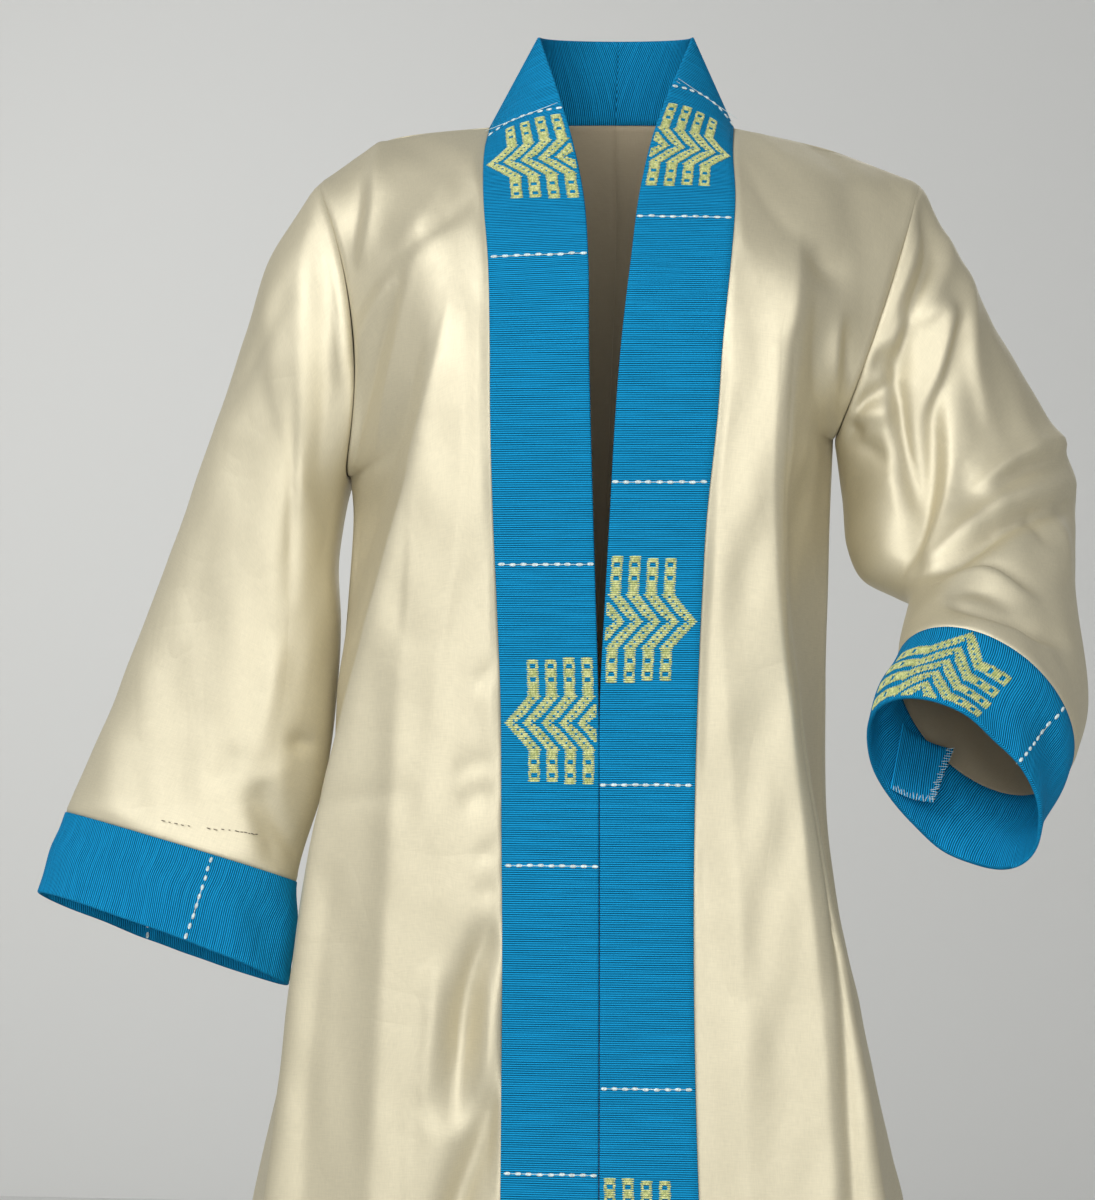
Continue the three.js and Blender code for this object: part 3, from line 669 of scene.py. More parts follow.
def softened(height, passes=2):
    """Evened out with the points around, so that no crest is sharper than the wall is thick."""
    for _ in range(passes):
        edge = np.pad(height, 1, "edge")
        around = edge[:-2, 1:-1] + edge[2:, 1:-1] + edge[1:-1, :-2] + edge[1:-1, 2:]
        height = (around + 4 * height) / 8
    return height


def lay_folds(grid, normals, folds, hold, facing=-1):
    """Raises folds on the side of the cloth that faces the front (-1) or the back (1)."""
    seen, ahead = front_view(grid)
    shown = ease(EDGE_ON_SHARE + FACING_GAIN * facing * (normals @ ahead))
    height = softened(sum(fold_height(seen, fold) for fold in folds))
    return grid + normals * (height * shown * hold)[..., None]


def drape(grid, normals, hold, size, seed):
    """Slack in the cloth: long soft waves that wander a little."""
    x, z = grid[..., 0] + 0.6 * grid[..., 1], grid[..., 2]
    rng = np.random.default_rng(seed)
    height = np.zeros(x.shape)
    for long, wide, share in SLACK_WAVES:
        for _ in range(2):
            phase, lean = rng.uniform(0, TURN), rng.uniform(-0.25, 0.25)
            height += share * np.sin(TURN * (x + lean * z) / wide + phase) * np.sin(
                TURN * z / long + rng.uniform(0, TURN))
    return grid + normals * (size * height * hold)[..., None]


def held(distances, reach):
    """0 at the sewn edges, where the neighbour holds the cloth, and 1 away from them."""
    value = 1.0
    for distance in distances.values():
        value = value * ease(distance / reach)
    return value


def seam_dip(grid, normals, distances, depth=0.9, reach=2.6):
    dip = sum(np.exp(-(d / reach) ** 2) for d in distances.values())
    return grid - normals * (depth * np.minimum(dip, 1))[..., None]


# ---------------------------------------------------------------------------
# Meshes
# ---------------------------------------------------------------------------
def placed(name, data):
    """A new object in the scene, at the origin."""
    made = bpy.data.objects.new(name, data)
    bpy.context.scene.collection.objects.link(made)
    return made


def cloth_object(name, points, faces, uv, kinds, materials):
    """A smooth mesh, with its flat cut in metres as its UV map."""
    mesh = bpy.data.meshes.new(name)
    mesh.from_pydata((points * MM).tolist(), [], faces.tolist())
    layer = mesh.uv_layers.new(name="cut")
    loops = np.empty(len(mesh.loops), np.int32)
    mesh.loops.foreach_get("vertex_index", loops)
    layer.data.foreach_set("uv", (uv * MM)[loops].ravel().astype(np.float32))
    for material in materials:
        mesh.materials.append(material)
    mesh.polygons.foreach_set("material_index", kinds.astype(np.int32))
    mesh.polygons.foreach_set("use_smooth", np.ones(len(mesh.polygons), bool))
    mesh.update()
    return placed(name, mesh)


def eased(normals, tube, passes=4):
    """Normals averaged with their neighbours', so that the wrong side doesn't cross itself."""
    for axis in (0, 1):
        around = tube and axis == 1
        lines = np.moveaxis(normals[:, :-1] if around else normals, axis, 0)
        for _ in range(passes):
            if around:
                before, after = np.roll(lines, 1, 0), np.roll(lines, -1, 0)
            else:
                before = np.concatenate([lines[:1], lines[:-1]])
                after = np.concatenate([lines[1:], lines[-1:]])
            lines = (before + 2 * lines + after) / 4
        normals = np.moveaxis(lines, 0, axis)
        if around:
            normals = closed_round(normals)
    return unit(normals)


def cloth_shell(name, grid, normals, wall, materials, outward, tube=False):
    """A closed sheet of cloth: right side, wrong side and rounded raw edges between them."""
    if tube:
        grid, normals = closed_round(grid), closed_round(normals)
    across, along = run_along(grid, 1), run_along(grid, 0)
    if tube:
        along = np.broadcast_to(along[:, :1], across.shape)
    uv = np.stack([across, along], -1).reshape(-1, 2)
    outer, inner = grid.reshape(-1, 3), (grid - eased(normals, tube) * wall).reshape(-1, 3)
    index = np.arange(len(outer)).reshape(across.shape)
    a, b, c, d = index[:-1, :-1], index[:-1, 1:], index[1:, 1:], index[1:, :-1]
    quads = np.stack([a, b, c, d], -1).reshape(-1, 4)
    points, uvs = [outer, inner], [uv, uv]
    faces = [quads, quads[:, ::-1] + len(outer)]
    kinds = [np.zeros(len(quads)), np.ones(len(quads))]

    def rim(line, outside):
        """line runs so that the cloth lies on its left, seen from the right side."""
        middle = sum(len(part) for part in points) + np.arange(len(line))
        points.append((outer[line] + inner[line]) / 2 + unit(outside) * wall * RIM_BULGE)
        uvs.append(uv[line])
        p, q = line[:-1], line[1:]
        faces.append(np.stack([q, p, middle[:-1], middle[1:]], -1))
        faces.append(np.stack([middle[1:], middle[:-1], p + len(outer), q + len(outer)], -1))
        kinds.append(np.zeros(2 * len(p)))

    rim(index[0], (grid[0] - grid[1]))
    rim(index[-1, ::-1], (grid[-1] - grid[-2])[::-1])
    if not tube:
        rim(index[::-1, 0], (grid[:, 0] - grid[:, 1])[::-1])
        rim(index[:, -1], grid[:, -1] - grid[:, -2])
    faces = np.concatenate(faces)
    if outward < 0:
        faces = faces[:, ::-1]
    piece = cloth_object(name, np.concatenate(points), faces, np.concatenate(uvs),
                         np.concatenate(kinds), materials)
    merge_doubles(piece)
    return piece


def merge_doubles(piece):
    work = bmesh.new()
    work.from_mesh(piece.data)
    bmesh.ops.remove_doubles(work, verts=work.verts, dist=MERGE_REACH)
    work.to_mesh(piece.data)
    work.free()


def heights(step):
    """Heights of the rows of a panel, with one row at the armpit."""
    above = SHOULDER_HEIGHT - ARMPIT_HEIGHT
    low = np.linspace(0, ARMPIT_HEIGHT, round(ARMPIT_HEIGHT / step) + 1)
    high = np.linspace(ARMPIT_HEIGHT, SHOULDER_HEIGHT, round(above / step) + 1)
    return np.concatenate([low, high[1:]])


def finish_piece(piece, node):
    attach(piece, BODY)
    if node:
        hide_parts(node)


# ---------------------------------------------------------------------------
# Materials
# ---------------------------------------------------------------------------
def add(tree, kind, place=(0, 0), **values):
    made = tree.nodes.new(kind)
    made.location = place
    for name, value in values.items():
        setattr(made, name, value)
    return made


def made_once(collection, name):
    """A maker of a material or node group that runs only while there is none of its name."""
    def wrap(make):
        def get():
            found = getattr(bpy.data, collection).get(name)
            return make(name) if found is None else found
        return get
    return wrap


def feed(tree, socket, value):
    """Links a socket to another node's output, or sets its value."""
    if isinstance(value, bpy.types.NodeSocket):
        tree.links.new(value, socket)
    else:
        socket.default_value = value


def calc(tree, operation, *inputs):
    made = add(tree, "ShaderNodeMath", operation=operation)
    for socket, value in zip(made.inputs, inputs):
        feed(tree, socket, value)
    return made.outputs[0]


def mixed(tree, share, low, high):
    made = add(tree, "ShaderNodeMix", data_type="RGBA")
    for k, value in ((0, share), (6, low), (7, high)):
        feed(tree, made.inputs[k], value)
    return made.outputs[2]


def noise(tree, vector, scale, detail=2.0, stretch=None):
    if stretch:
        mapping = add(tree, "ShaderNodeMapping")
        mapping.inputs["Scale"].default_value = stretch
        tree.links.new(vector, mapping.inputs["Vector"])
        vector = mapping.outputs[0]
    made = add(tree, "ShaderNodeTexNoise")
    made.inputs["Scale"].default_value = scale
    made.inputs["Detail"].default_value = detail
    tree.links.new(vector, made.inputs["Vector"])
    return made.outputs["Fac"]


def group_tree(name, inputs, outputs):
    tree = bpy.data.node_groups.new(name, "ShaderNodeTree")
    for label, kind, default in inputs:
        socket = tree.interface.new_socket(label, in_out="INPUT", socket_type=kind)
        if default is not None:
            socket.default_value = default
    for label, kind in outputs:
        tree.interface.new_socket(label, in_out="OUTPUT", socket_type=kind)
    return tree, add(tree, "NodeGroupInput"), add(tree, "NodeGroupOutput")


@made_once("node_groups", "thread_grain")
def thread_grain(name):
    """Fine threads of a cloth: streaks of tone and height that run along the warp."""
    tree, given, result = group_tree(
        name,
        [("Cut", "NodeSocketVector", None), ("Warp pitch", "NodeSocketFloat", 0.0005),
         ("Weft pitch", "NodeSocketFloat", 0.0005)],
        [("Tone", "NodeSocketFloat"), ("Height", "NodeSocketFloat")])
    parts = add(tree, "ShaderNodeSeparateXYZ")
    tree.links.new(given.outputs["Cut"], parts.inputs[0])
    warp, weft = (
        calc(tree, "SINE", calc(tree, "DIVIDE", calc(tree, "MULTIPLY", parts.outputs[k], TURN),
                                given.outputs[pitch]))
        for k, pitch in enumerate(("Warp pitch", "Weft pitch"))
    )
    long_streaks = noise(tree, given.outputs["Cut"], 1300, 2, (1.0, 0.1, 1.0))
    short_streaks = noise(tree, given.outputs["Cut"], 1100, 2, (0.12, 1.0, 1.0))
    tone = calc(tree, "MULTIPLY", calc(tree, "ADD", long_streaks, short_streaks), 0.5)
    weave = calc(tree, "MULTIPLY", calc(tree, "MULTIPLY", warp, weft), 0.5)
    height = calc(tree, "ADD", weave, tone)
    tree.links.new(tone, result.inputs["Tone"])
    tree.links.new(height, result.inputs["Height"])
    return tree


@made_once("node_groups", "handling")
def handling(name):
    """Soft unevenness of tone that cloth gets from folding and pressing."""
    tree, given, result = group_tree(
        name, [("Place", "NodeSocketVector", None), ("Scale", "NodeSocketFloat", 9.0)],
        [("Tone", "NodeSocketFloat")])
    made = add(tree, "ShaderNodeTexNoise")
    made.inputs["Detail"].default_value = 3
    tree.links.new(given.outputs["Place"], made.inputs["Vector"])
    tree.links.new(given.outputs["Scale"], made.inputs["Scale"])
    tree.links.new(made.outputs["Fac"], result.inputs["Tone"])
    return tree


@made_once("node_groups", "crumple")
def crumple(name):
    """Faint creases that cross each other, as height."""
    tree, given, result = group_tree(
        name, [("Place", "NodeSocketVector", None), ("Scale", "NodeSocketFloat", 14.0)],
        [("Height", "NodeSocketFloat")])
    total = None
    layers = ((1.0, 1.0, 0.35), 1.0), ((0.5, 1.0, 1.2), 0.6), ((2.2, 2.2, 1.4), 0.35)
    for stretch, share in layers:
        mapping = add(tree, "ShaderNodeMapping")
        mapping.inputs["Scale"].default_value = stretch
        tree.links.new(given.outputs["Place"], mapping.inputs["Vector"])
        made = add(tree, "ShaderNodeTexNoise")
        made.inputs["Detail"].default_value = 1.5
        made.inputs["Distortion"].default_value = 0.6
        tree.links.new(mapping.outputs[0], made.inputs["Vector"])
        tree.links.new(given.outputs["Scale"], made.inputs["Scale"])
        ridge = calc(tree, "ABSOLUTE", calc(tree, "SUBTRACT", made.outputs["Fac"], 0.5))
        ridge = calc(tree, "MULTIPLY", calc(tree, "POWER", ridge, 0.7), share)
        total = ridge if total is None else calc(tree, "ADD", total, ridge)
    tree.links.new(total, result.inputs["Height"])
    return tree


def use_group(tree, group, **links):
    made = add(tree, "ShaderNodeGroup")
    made.node_tree = group
    for name, value in links.items():
        feed(tree, made.inputs[name], value)
    return made


def new_material(name):
    material = bpy.data.materials.new(name)
    material.use_nodes = True
    tree = material.node_tree
    tree.nodes.clear()
    shader = add(tree, "ShaderNodeBsdfPrincipled", (200, 0))
    output = add(tree, "ShaderNodeOutputMaterial", (500, 0))
    tree.links.new(shader.outputs[0], output.inputs[0])
    coordinates = add(tree, "ShaderNodeTexCoord", (-900, 0))
    return material, tree, shader, coordinates


def bump(tree, normal, height, strength, distance):
    """Feeds a normal socket from a height. A larger height can feed the node's own Normal."""
    made = add(tree, "ShaderNodeBump")
    made.inputs["Strength"].default_value = strength
    made.inputs["Distance"].default_value = distance
    tree.links.new(height, made.inputs["Height"])
    tree.links.new(made.outputs[0], normal)
    return made


def shade(colour, factor):
    return tuple(min(1, c * factor) for c in colour) + (1,)


@made_once("materials", "champagne_satin")
def satin_material(name):
    colours = bpy.context.scene.robe_colours
    material, tree, shader, where = new_material(name)
    grain = use_group(tree, thread_grain(), Cut=where.outputs["UV"])
    worn = use_group(tree, handling(), Place=where.outputs["Object"], Scale=7.0)
    low, high, streak = (shade(colours.satin, factor) for factor in (0.95, 1.05, 0.66))
    base = mixed(tree, worn.outputs["Tone"], low, high)
    base = mixed(tree, calc(tree, "MULTIPLY", grain.outputs["Tone"], 0.8), base, streak)
    tree.links.new(base, shader.inputs["Base Color"])
    rough = calc(tree, "ADD", 0.40, calc(tree, "MULTIPLY", grain.outputs["Tone"], 0.16))
    tree.links.new(rough, shader.inputs["Roughness"])
    shader.inputs["Metallic"].default_value = 0.5
    shader.inputs["IOR"].default_value = 2.0
    shader.inputs["Anisotropic"].default_value = 0.3
    creases = use_group(tree, crumple(), Place=where.outputs["Object"], Scale=13.0)
    fine = bump(tree, shader.inputs["Normal"], grain.outputs["Height"], 0.2, 0.0002)
    bump(tree, fine.inputs["Normal"], creases.outputs["Height"], 0.2, 0.004)
    return material


@made_once("materials", "satin_wrong_side")
def wrong_side_material(name):
    colours = bpy.context.scene.robe_colours
    material, tree, shader, where = new_material(name)
    grain = use_group(tree, thread_grain(), Cut=where.outputs["UV"])
    low, high = (shade(colours.wrong_side, factor) for factor in (1.1, 0.88))
    base = mixed(tree, grain.outputs["Tone"], low, high)
    tree.links.new(base, shader.inputs["Base Color"])
    rough = calc(tree, "ADD", 0.68, calc(tree, "MULTIPLY", grain.outputs["Tone"], 0.2))
    tree.links.new(rough, shader.inputs["Roughness"])
    bump(tree, shader.inputs["Normal"], grain.outputs["Height"], 0.3, 0.0003)
    return material


@made_once("materials", "ribbed_blue_strip")
def strip_material(name):
    colours = bpy.context.scene.robe_colours
    material, tree, shader, where = new_material(name)
    parts = add(tree, "ShaderNodeSeparateXYZ")
    tree.links.new(where.outputs["UV"], parts.inputs[0])
    wander = noise(tree, where.outputs["UV"], 160, 2, (1.0, 0.2, 1.0))
    place = calc(tree, "ADD", parts.outputs[0], calc(tree, "MULTIPLY", wander, 0.0004))
    rib_and_painted_light = calc(tree, "SINE", calc(tree, "MULTIPLY", place, TURN / (RIB_PITCH * MM)))
    rib_and_painted_light = calc(tree, "ADD", calc(tree, "MULTIPLY", rib_and_painted_light, 0.5), 0.5)
    threads = noise(tree, where.outputs["UV"], 1400, 2, (0.12, 1.0, 1.0))
    streak = noise(tree, where.outputs["UV"], 240, 3, (1.0, 0.05, 1.0))
    worn = use_group(tree, handling(), Place=where.outputs["Object"], Scale=14.0)
    # Painted light and shade: the rib crests are painted lighter and the grooves between them
    # darker, as light and shade on the ribs. The same wave also gives the ribs' bump.
    base = mixed(tree, rib_and_painted_light, shade(colours.strip, 0.1), shade(colours.strip, 1.95))
    slub = noise(tree, where.outputs["UV"], 620, 1, (1.0, 0.04, 1.0))
    slub = calc(tree, "MULTIPLY", calc(tree, "SUBTRACT", slub, 0.42), 1.2)
    slub = calc(tree, "MINIMUM", calc(tree, "MAXIMUM", slub, 0.0), 0.4)
    base = mixed(tree, slub, base, shade(colours.strip, 1.7))
    wear = calc(tree, "MULTIPLY", worn.outputs["Tone"], 0.3)
    base = mixed(tree, wear, base, shade(colours.strip, 0.85))
    tree.links.new(base, shader.inputs["Base Color"])
    rough = calc(tree, "ADD", 0.62, calc(tree, "MULTIPLY", streak, 0.2))
    tree.links.new(rough, shader.inputs["Roughness"])
    shader.inputs["Specular IOR Level"].default_value = 0.03
    height = calc(tree, "ADD", rib_and_painted_light, calc(tree, "MULTIPLY", threads, 0.6))
    bump(tree, shader.inputs["Normal"], height, 0.9, 0.0006)
    return material


def thread_material(name, light, dark, roughness):
    """Twisted yarn: slanting strands along each laid thread."""
    if name in bpy.data.materials:
        return bpy.data.materials[name]
    material, tree, shader, where = new_material(name)
    strands = noise(tree, where.outputs["Object"], 900, 2, (1.0, 1.0, 0.6))
    tufts = noise(tree, where.outputs["Object"], 260, 2)
    blend = calc(tree, "ADD", calc(tree, "MULTIPLY", strands, 0.7),
                 calc(tree, "MULTIPLY", tufts, 0.3))
    contrast = add(tree, "ShaderNodeMapRange")
    contrast.inputs["From Min"].default_value = 0.4
    contrast.inputs["From Max"].default_value = 0.62
    tree.links.new(blend, contrast.inputs["Value"])
    base = mixed(tree, contrast.outputs[0], dark + (1,), light + (1,))
    tree.links.new(base, shader.inputs["Base Color"])
    shader.inputs["Roughness"].default_value = roughness
    shader.inputs["Sheen Weight"].default_value = 0.2
    bump(tree, shader.inputs["Normal"], strands, 0.5, 0.0003)
    return material


def white_yarn():
    white = tuple(bpy.context.scene.robe_colours.white)
    return thread_material("white_yarn", white, tuple(c * 0.55 for c in white), 0.7)


# ---------------------------------------------------------------------------
# Threads laid on the cloth by Geometry Nodes
# ---------------------------------------------------------------------------
@made_once("node_groups", "laid_threads")
def laid_threads_tree(name):
    """Lays one rounded thread at each point, turned and stretched as the point says."""
    tree = bpy.data.node_groups.new(name, "GeometryNodeTree")
    face = tree.interface
    face.new_socket("Geometry", in_out="INPUT", socket_type="NodeSocketGeometry")
    for label, default in (("Width", 0.001), ("Height", 0.001)):
        socket = face.new_socket(label, in_out="INPUT", socket_type="NodeSocketFloat")
        socket.default_value = default
    face.new_socket("Sides", in_out="INPUT", socket_type="NodeSocketInt").default_value = 6
    face.new_socket("Rings", in_out="INPUT", socket_type="NodeSocketInt").default_value = 5
    face.new_socket("Material", in_out="INPUT", socket_type="NodeSocketMaterial")
    face.new_socket("Geometry", in_out="OUTPUT", socket_type="NodeSocketGeometry")
    given, result = add(tree, "NodeGroupInput"), add(tree, "NodeGroupOutput")
    link = tree.links.new
    line = add(tree, "GeometryNodeCurvePrimitiveLine")
    line.inputs["Start"].default_value = (-0.5, 0, 0)
    line.inputs["End"].default_value = (0.5, 0, 0)
    points = add(tree, "GeometryNodeResampleCurve")
    link(line.outputs[0], points.inputs["Curve"])
    link(given.outputs["Rings"], points.inputs["Count"])
    factor = add(tree, "GeometryNodeSplineParameter")
    ends = calc(tree, "POWER", calc(tree, "ABSOLUTE", calc(
        tree, "SUBTRACT", calc(tree, "MULTIPLY", factor.outputs["Factor"], 2.0), 1.0)), 4.0)
    radius = calc(tree, "SUBTRACT", 1.0, calc(tree, "MULTIPLY", ends, 0.55))
    section = add(tree, "GeometryNodeCurvePrimitiveCircle")
    section.inputs["Radius"].default_value = 0.5
    link(given.outputs["Sides"], section.inputs["Resolution"])
    tube = add(tree, "GeometryNodeCurveToMesh")
    tube.inputs["Fill Caps"].default_value = True
    link(points.outputs[0], tube.inputs["Curve"])
    link(section.outputs[0], tube.inputs["Profile Curve"])
    link(radius, tube.inputs["Scale"])
    turn = add(tree, "GeometryNodeInputNamedAttribute", data_type="FLOAT_VECTOR")
    turn.inputs["Name"].default_value = "turn"
    reach = add(tree, "GeometryNodeInputNamedAttribute", data_type="FLOAT")
    reach.inputs["Name"].default_value = "reach"
    scale = add(tree, "ShaderNodeCombineXYZ")
    link(reach.outputs[0], scale.inputs[0])
    link(given.outputs["Width"], scale.inputs[1])
    link(given.outputs["Height"], scale.inputs[2])
    lay = add(tree, "GeometryNodeInstanceOnPoints")
    link(given.outputs["Geometry"], lay.inputs["Points"])
    link(tube.outputs[0], lay.inputs["Instance"])
    link(turn.outputs[0], lay.inputs["Rotation"])
    link(scale.outputs[0], lay.inputs["Scale"])
    real = add(tree, "GeometryNodeRealizeInstances")
    soft = add(tree, "GeometryNodeSetShadeSmooth")
    paint = add(tree, "GeometryNodeSetMaterial")
    link(lay.outputs[0], real.inputs[0])
    link(real.outputs[0], soft.inputs["Geometry"])
    link(soft.outputs[0], paint.inputs["Geometry"])
    link(given.outputs["Material"], paint.inputs["Material"])
    link(paint.outputs[0], result.inputs[0])
    return tree


def lay_threads(name, threads, width, height, material, sides=6, rings=5):
    """threads are (middle, direction, normal, length) in millimetres. Makes a plain mesh."""
    mesh = bpy.data.meshes.new(name + "_points")
    mesh.from_pydata([(Vector(p) * MM)[:] for p, _, _, _ in threads], [], [])
    angles, lengths = [], []
    for _, direction, normal, length in threads:
        x = Vector(direction).normalized()
        y = Vector(normal).cross(x).normalized()
        z = x.cross(y)
        angles.extend(Matrix((x, y, z)).transposed().to_euler())
        lengths.append(length * MM)
    mesh.attributes.new("turn", "FLOAT_VECTOR", "POINT").data.foreach_set("vector", angles)
    mesh.attributes.new("reach", "FLOAT", "POINT").data.foreach_set("value", lengths)
    guide = placed(name + "_points", mesh)
    modifier = guide.modifiers.new("laid_threads", "NODES")
    modifier.node_group = tree = laid_threads_tree()
    values = {
        "Width": width * MM, "Height": height * MM, "Sides": sides, "Rings": rings,
        "Material": material,
    }
    for item in tree.interface.items_tree:
        if item.in_out == "INPUT" and item.name in values:
            modifier[item.identifier] = values[item.name]
    evaluated = guide.evaluated_get(bpy.context.evaluated_depsgraph_get())
    made = bpy.data.meshes.new_from_object(evaluated)
    made.name = name
    piece = placed(name, made)
    bpy.data.objects.remove(guide)
    return piece


class StripFace:
    """The right side of a sewn strip: u is measured across it from its seam, v along it."""

    def __init__(self, face, outward, closed=False, skew=0, behind=False):
        normals = normals_of(face, outward, closed)
        if closed:
            face, normals = closed_round(face), closed_round(normals)
        self.points, self.normals, self.closed, self.skew = face, normals, closed, skew
        self.edges = run_along(face, 1)[[0, -1]]
        self.length = float(self.edges[:, -1].mean() if closed else self.edges[0, -1])
        if closed:
            self.edges *= self.length / self.edges[:, -1:]
        if behind:
            self.points, self.normals = face - normals * STRIP_FOLDED, -normals

    def length_at(self, z):
        """v where the seam passes a height."""
        return float(np.interp(z, self.points[0, :, 2], self.edges[0]))

    def at(self, u, v):
        """The point and normal of the cloth. The strip keeps its length along both edges."""
        rows, columns = self.points.shape[:2]
        share = np.clip(u / BAND_WIDTH, 0, 1)
        v = (v + self.skew * (share - 0.5)) % self.length if self.closed else v
        seam, fold = (np.interp(v, edge, np.arange(columns)) for edge in self.edges)
        along = (1 - share) * seam + share * fold
        across = share * (rows - 1)
        j, i = min(int(along), columns - 2), min(int(across), rows - 2)
        g, f = along - j, across - i
        near = (
            ((1 - f) * (1 - g), i, j),
            ((1 - f) * g, i, j + 1),
            (f * (1 - g), i + 1, j),
            (f * g, i + 1, j + 1),
        )
        point = sum(w * self.points[a, b] for w, a, b in near)
        return point, unit(sum(w * self.normals[a, b] for w, a, b in near))

    def thread(self, start, end, v, lift):
        """A thread across the strip from start to end, as lay_threads takes it."""
        (a, _), (b, _) = self.at(start, v), self.at(end, v)
        middle, normal = self.at((start + end) / 2, v)
        return middle + normal * lift, b - a, normal, float(np.linalg.norm(b - a))

    def inside(self, v):
        return self.closed or FIGURE_MARGIN < v < self.length - FIGURE_MARGIN


def figure_floats():
    """The threads of one figure: rows up from its middle, and each thread's start and end."""
    f = FIGURE
    threads = []
    for row in range(-f["arm_rows"], f["arm_rows"] + 1):
        away = abs(row)
        starts = np.arange(f["apex"] + away * f["step"], f["fold"] - f["shortest"], f["bar_pitch"])
        width = f["arm_width"] - f["taper"] * max(0, f["taper_rows"] - away)
        for start in starts:
            end = min(start + width, f["fold"])
            middle = start + f["arm_split"]
            if row % 2 and end - middle > f["shortest"]:
                threads += [(row, start, middle), (row, middle + f["split_gap"], end)]
            else:
                threads.append((row, start, end))
    first_bar = f["apex"] + f["arm_rows"] * f["step"]
    halves = ((1, f["upper_rows"], f["upper_ticks"]), (-1, f["lower_rows"], f["lower_ticks"]))
    for up, count, ticks in halves:
        for bar in range(f["bars"]):
            start = first_bar + bar * f["bar_pitch"]
            end = start + f["bar_width"]
            for k in range(count + bar // 2):
                row = up * (f["arm_rows"] + 1 + k)
                if k in ticks:
                    threads.append((row, start, start + f["tick_edge"]))
                    threads.append((row, end - f["tick_edge"], end))
                else:
                    threads.append((row, start, end))
    return threads


def strip_threads(name, face, rows, figures, seed):
    """Lays the dotted rows and the figures of a strip, each at its place along the strip."""
    rng = np.random.default_rng(seed)
    dots, lines, floats = [], [], []
    for v in rows:
        lines.append(face.thread(LINE_MARGIN, BAND_WIDTH - LINE_MARGIN, v, LINE_LIFT))
        for u in np.arange(FIRST_DOT, BAND_WIDTH - DOT_MARGIN, DOT_PITCH):
            start = u - DOT_LENGTH / 2 + rng.uniform(-STRAY_ACROSS, STRAY_ACROSS)
            place = v + rng.uniform(-STRAY_ALONG, STRAY_ALONG)
            dots.append(face.thread(start, start + DOT_LENGTH, place, DOT_LIFT))
    for middle in figures:
        for row, start, end in figure_floats():
            place = middle + row * RIB_PITCH
            if face.inside(place):
                ragged = rng.uniform(-STRAY_ACROSS, STRAY_ACROSS, 2)
                end = min(end + ragged[1], FIGURE["fold"])
                floats.append(face.thread(start + ragged[0], end, place, FLOAT_LIFT))
    colours = bpy.context.scene.robe_colours
    white = white_yarn()
    inlay = thread_material("inlaid_yarn", tuple(colours.inlay), tuple(colours.inlay_shade), 0.6)
    made = [
        lay_threads(name + "_knots", dots, DOT_WIDTH, DOT_HEIGHT, white),
        lay_threads(name + "_lines", lines, LINE_WIDTH, LINE_HEIGHT, white, rings=24),
    ]
    if floats:
        made.append(lay_threads(name + "_figures", floats, FLOAT_WIDTH, FLOAT_HEIGHT, inlay))
    for piece in made:
        finish_piece(piece, None)


def sleeve_points(side, places, lift):
    """Points given as how far each is from the rim and its angle in degrees round the arm, moved
    inwards by lift, and the directions towards the middle of the arm."""
    places = np.asarray(places, float)
    reach = arm_rings(side)[1][-1] + places[..., 0].ravel()
    angle = np.radians(places[..., 1].ravel())
    middle = arm_rows(side, reach, np.linspace(0, TURN, MIDDLE_STEPS + 1)[:-1]).mean(1)
    point = np.array([arm_rows(side, [r], [a])[0, 0] for r, a in zip(reach, angle)])
    inward = unit(middle - point)
    shape = places.shape[:-1] + (3,)
    point = point + inward * np.broadcast_to(lift, places.shape[:-1]).ravel()[:, None]
    return point.reshape(shape), inward.reshape(shape)


def overlock(name, edge, inward, across, seed):
    """White stitches that wrap a raw edge, slanting a little, each of its own length."""
    rng = np.random.default_rng(seed)
    walk = run_along(edge[None], 1)[0]
    stitches = []

    def read(values, v):
        return np.array([np.interp(v, walk, values[:, k]) for k in range(3)])

    for v in np.arange(FIRST_STITCH, walk[-1], STITCH_PITCH):
        at, into, over = (read(values, v) for values in (edge, inward, across))
        slant = unit(edge[-1] - edge[0]) * rng.uniform(*STITCH_SLANT)
        length = rng.uniform(*STITCH_LENGTH)
        middle = at + into * STITCH_LIFT + over * length * STITCH_REACH
        stitches.append((middle, unit(over + slant), into, length))
    piece = lay_threads(name, stitches, STITCH_WIDTH, STITCH_HEIGHT, white_yarn())
    finish_piece(piece, None)


def cuff_flap():
    """The end of the left cuff's strip, standing off inside the sleeve, and its stitches."""
    s, t = np.meshgrid(np.linspace(0, 1, FLAP_COLUMNS), np.linspace(0, 1, FLAP_ROWS))
    (a, b), (c, d) = (np.array(row, float) for row in FLAP_CORNERS)
    places = ((1 - s)[..., None] * a + s[..., None] * b) * (1 - t)[..., None] + (
        (1 - s)[..., None] * c + s[..., None] * d) * t[..., None]
    wave = 0.6 * np.sin(TURN * (0.9 * t + 0.3 * s))
    lift = STRIP_FOLDED + FLAP_GAP + FLAP_LIFT * s ** 1.6 + wave * s
    grid, inward = sleeve_points("left", places, lift)
    facing = 1 if np.sum(normals_of(grid, 1) * inward) > 0 else -1
    wall = bpy.context.scene.robe_sizes.strip_wall / MM
    piece = cloth_shell("robe_cuff_flap", grid, normals_of(grid, facing), wall,
                        [strip_material(), strip_material()], facing)
    finish_piece(piece, None)
    across = unit(grid[:, -1] - grid[:, -3])
    overlock("robe_cuff_flap_stitches", grid[:, -1], inward[:, -1], -across, STITCH_SEED)
    back = unit(grid[-3] - grid[-1])
    overlock("robe_cuff_flap_end_stitches", grid[-1, ::-1], inward[-1, ::-1], back[::-1],
             END_STITCH_SEED)


